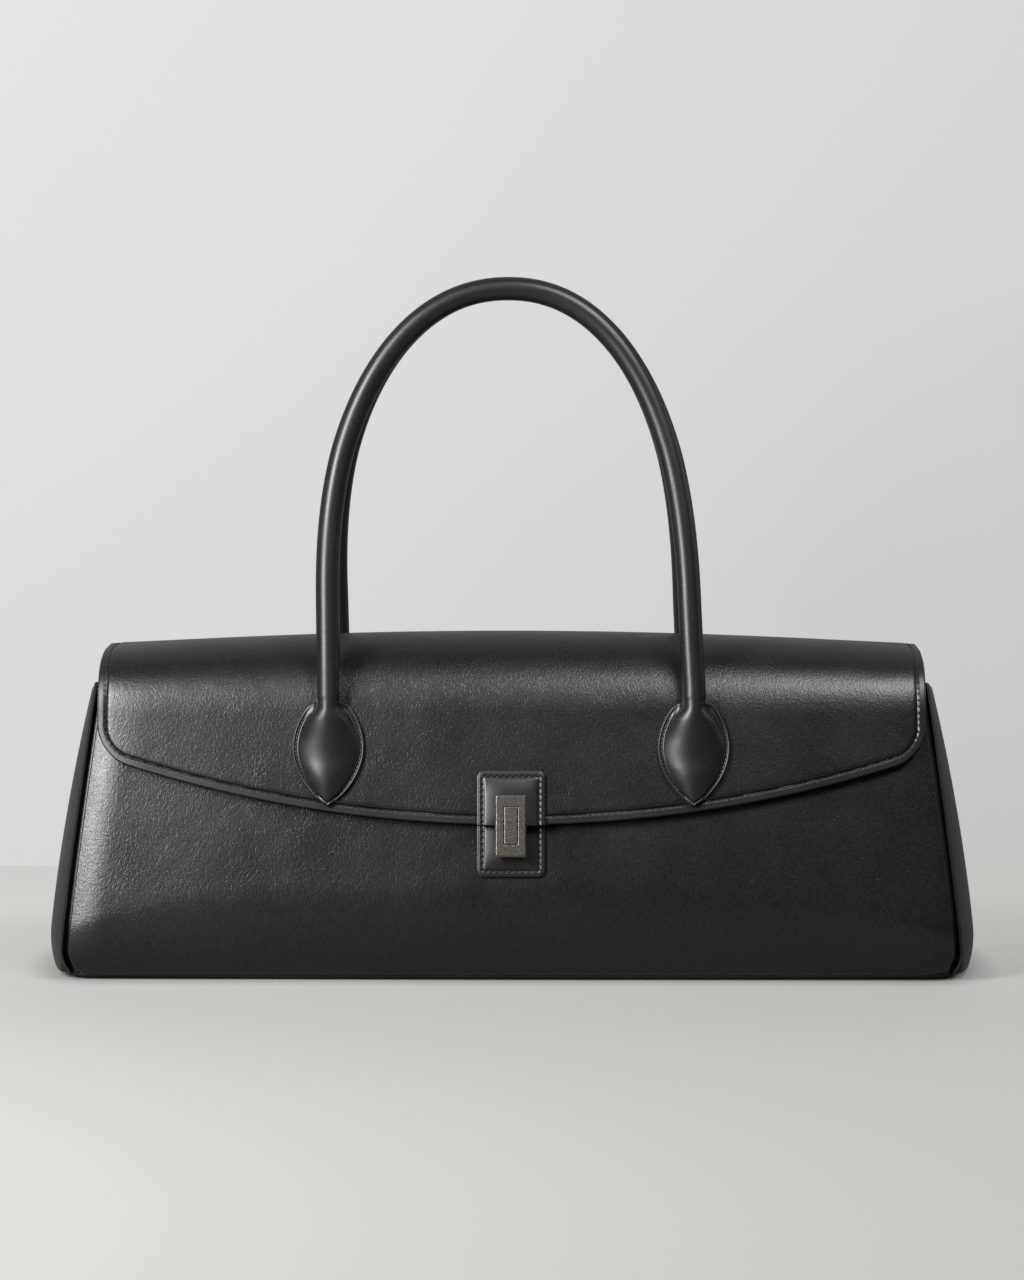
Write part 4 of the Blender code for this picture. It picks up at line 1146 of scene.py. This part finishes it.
def liningRing(z, inward):
    # follows the walls 3.6 mm in; the ends bow out with the gussets
    halfX = halfWidth(z) - gusset["flange"] - gusset["leather"] - inside["endGap"] - inward
    reach = halfDepth(z) - inside["cloth"] - inward - inside["cornerGap"]
    x = np.linspace(-1, 1, 60) * halfX
    rolled = sideRoll(x, z) * inside["rollShare"]
    front = sideBySide(x, -(bodySurface(x, z) - inside["cloth"] - inward - rolled))
    y = np.linspace(-1, 1, 24)[1:-1] * reach
    bulge = gusset["flange"] + gusset["bulge"] - gusset["bulgeLoss"] * (z / body["rimHeight"]) ** 2.2
    end = halfX + inside["endGrowth"] + inside["bulgeShare"] * bulge * (1 - (y / reach) ** 2)
    end = sideBySide(end, y)
    half = joined(front, end)
    return joined(half, -half).T


def liningStack(inward):
    # rings from a foot rounded by 6 mm, inset 6 (1 - sin a) at height 6 (1 - cos a), up to the top
    a = np.linspace(0, math.pi / 2, 8)
    foot = inside["liningFoot"] + inward + inside["footRound"] * (1 - np.cos(a))
    levels = joined(foot, np.linspace(inside["wallFrom"], inside["liningTop"], 24))
    insets = joined(inside["footRound"] * (1 - np.sin(a)), np.zeros(24))
    rings = []
    for level, more in zip(levels, insets):
        rings.append(sideBySide(*liningRing(max(level, inside["shapeFrom"]), inward + more), level))
    return rings


clothBag = loftRings("liningCloth", liningStack(0.0) + liningStack(inside["lining"])[::-1], [twill])
attach(clothBag, "bag_body", "lining_cloth", "lining")
print("inside made")

# Finishes on the rigid nodes
for look, names in (
    (gunmetal, ("lock_case", "lock_button")),
    (nickelSteel, ("lock_cover", "lock_clamp", "strike_backing", "strike_post")),
    (nickelSteel, ("lock_latch", "lock_screw_left", "lock_screw_right")),
    (greyBoard, ("base_stiffener",)),
):
    for name in names:
        nodes[name].data.materials.clear()
        nodes[name].data.materials.append(look)

# Studio; the camera turns in degrees
studio = {
    "camera": (18.1, -1843.9, 301.5),
    "tilt": 4.998,
    "turn": 0.565,
    "lens": 119.98,
    "reach": 6000.0,
    "floorZ": -0.4,
    "wallTop": 3000.0,
    "wallY": 293.0,
    "air": 0.01,
    "sky": 0.62,
    "floorGlow": 1.48,
    "wallGlow": 2.62,
    "wallGloss": 0.08,
}
# the floor's own light grows to 1.65 times from the first depth to the second; it is shaded within
# 14 mm of the bag's foot, and that shade fades out over the last two depths, on the way to the wall
floorRise = {"from": -150.0, "to": 200.0, "share": 1.65, "shade": 14.0, "wallFrom": 150.0, "wallTo": 250.0}
# place, aim and size in metres, power in watts
lamps = {
    "keyLight": ((-0.59, -0.63, 0.57), (-0.05, 0.0, 0.08), (0.26, 0.6), 22.0),
    "fillLight": ((0.5, -0.75, 1.3), (0.0, 0.0, 0.08), (0.6, 0.5), 20.0),
    "sideLight": ((1.5, 0.2, 0.75), (0.0, 0.0, 0.08), (0.6, 0.6), 2.6),
    "backLight": ((0.5, 1.3, 1.15), (0.0, 0.0, 0.06), (0.9, 0.6), 1.5),
}
sceneNow = bpy.context.scene
lens = bpy.data.cameras.new("camera")
lens.lens = studio["lens"]
lens.sensor_width = 36.0
lens.clip_end = 20.0
cameraObject = bpy.data.objects.new("camera", lens)
sceneNow.collection.objects.link(cameraObject)
cameraObject.location = Vector(studio["camera"]) * mm
cameraObject.rotation_euler = (math.radians(90 - studio["tilt"]), 0.0, math.radians(studio["turn"]))
sceneNow.camera = cameraObject


def plainSheet(name, corner, rise, look):
    # one face: from a corner along x by twice the reach, and from there along rise
    across = (2 * studio["reach"], 0, 0)
    corners = np.array(corner) + np.array([(0, 0, 0), across, np.add(across, rise), rise])
    mesh = bpy.data.meshes.new(name)
    mesh.from_pydata((corners * mm).tolist(), [], [(0, 1, 2, 3)])
    mesh.materials.append(look)
    made = bpy.data.objects.new(name, mesh)
    sceneNow.collection.objects.link(made)
    return made


# Honed pale floor and matt white wall. Each has a little light of its own so that it reads pale:
# glow x (camera ray + gloss x glossy ray), so the camera sees it in full and polish sees a share.
def paleGround(name, colour, roughness, glow, gloss, rise=None, oneSided=False):
    # with rise, the light also takes floorRise's growth and shade.
    # A one-sided sheet is clear from behind, so that the bag's back can be looked at through it.
    made, tree, place = newMaterial(name)
    ray = addNode(tree, "LightPath").outputs
    share = {"operation": "MULTIPLY_ADD", 1: gloss}
    rays = addNode(tree, "Math", share, {0: ray["Is Glossy Ray"], 2: ray["Is Camera Ray"]})
    seen = addNode(tree, "Math", {"operation": "MULTIPLY", 1: glow}, {0: rays})
    if rise:
        depth = addNode(tree, "SeparateXYZ", {}, {0: place}).outputs["Y"]
        ramp = {"From Min": rise["from"] * mm, "From Max": rise["to"] * mm, "To Max": rise["share"]}
        ramp = {"interpolation_type": "SMOOTHSTEP", "To Min": 1.0, **ramp}
        growth = addNode(tree, "MapRange", ramp, {"Value": depth})
        shade = {"samples": 8, "Distance": rise["shade"] * mm}
        near = addNode(tree, "AmbientOcclusion", shade).outputs["AO"]
        ramp = {"From Min": rise["wallFrom"] * mm, "From Max": rise["wallTo"] * mm}
        byWall = addNode(tree, "MapRange", ramp, {"Value": depth})
        kept = addNode(tree, "Math", {"operation": "MAXIMUM"}, {0: near, 1: byWall})
        for factor in (growth, kept):
            seen = addNode(tree, "Math", {"operation": "MULTIPLY"}, {0: seen, 1: factor})
    settings = {"Base Color": colour, "Roughness": roughness, "Emission Color": colour}
    face = addNode(tree, "BsdfPrincipled", settings, {"Emission Strength": seen})
    if oneSided:
        behind = addNode(tree, "NewGeometry").outputs["Backfacing"]
        clear = addNode(tree, "BsdfTransparent")
        face = addNode(tree, "MixShader", {}, {0: behind, 1: face, 2: clear})
    addNode(tree, "OutputMaterial", {}, {0: face})
    return made


floorLook = paleGround("honed_pale_floor", "#6e6d6b", 0.6, studio["floorGlow"], 0.0, rise=floorRise)
wallGlow, wallGloss = studio["wallGlow"], studio["wallGloss"]
wallLook = paleGround("matt_white_wall", "#6c6c6c", 0.95, wallGlow, wallGloss, oneSided=True)
reach, ground, top, far = studio["reach"], studio["floorZ"], studio["wallTop"], studio["wallY"]
plainSheet("studioFloor", (-reach, -reach, ground), (0, 2 * reach, 0), floorLook)
studioWall = plainSheet("studioWall", (-reach, far, ground), (0, 0, top - ground), wallLook)
studioWall.visible_shadow = False  # so that the light behind it reaches the bag's back

for name, (place, aim, size, power) in lamps.items():
    light = bpy.data.lights.new(name, "AREA")
    light.shape = "RECTANGLE"
    light.size, light.size_y = size
    light.energy = power
    lamp = bpy.data.objects.new(name, light)
    sceneNow.collection.objects.link(lamp)
    lamp.location = Vector(place)
    lamp.rotation_mode = "QUATERNION"
    lamp.rotation_quaternion = (Vector(aim) - Vector(place)).to_track_quat("-Z", "Y")

world = bpy.data.worlds.new("studioAir")
world.use_nodes = True
air = world.node_tree
skyRay = addNode(air, "LightPath").outputs["Is Camera Ray"]
strength = {"operation": "MULTIPLY_ADD", 1: studio["sky"], 2: studio["air"]}
sky = addNode(air, "Math", strength, {0: skyRay})
air.nodes["Background"].inputs[0].default_value = linearColour("#ffffff")
air.links.new(sky.outputs[0], air.nodes["Background"].inputs[1])
sceneNow.world = world
sceneNow.view_settings.view_transform = "Standard"
print("studio made")
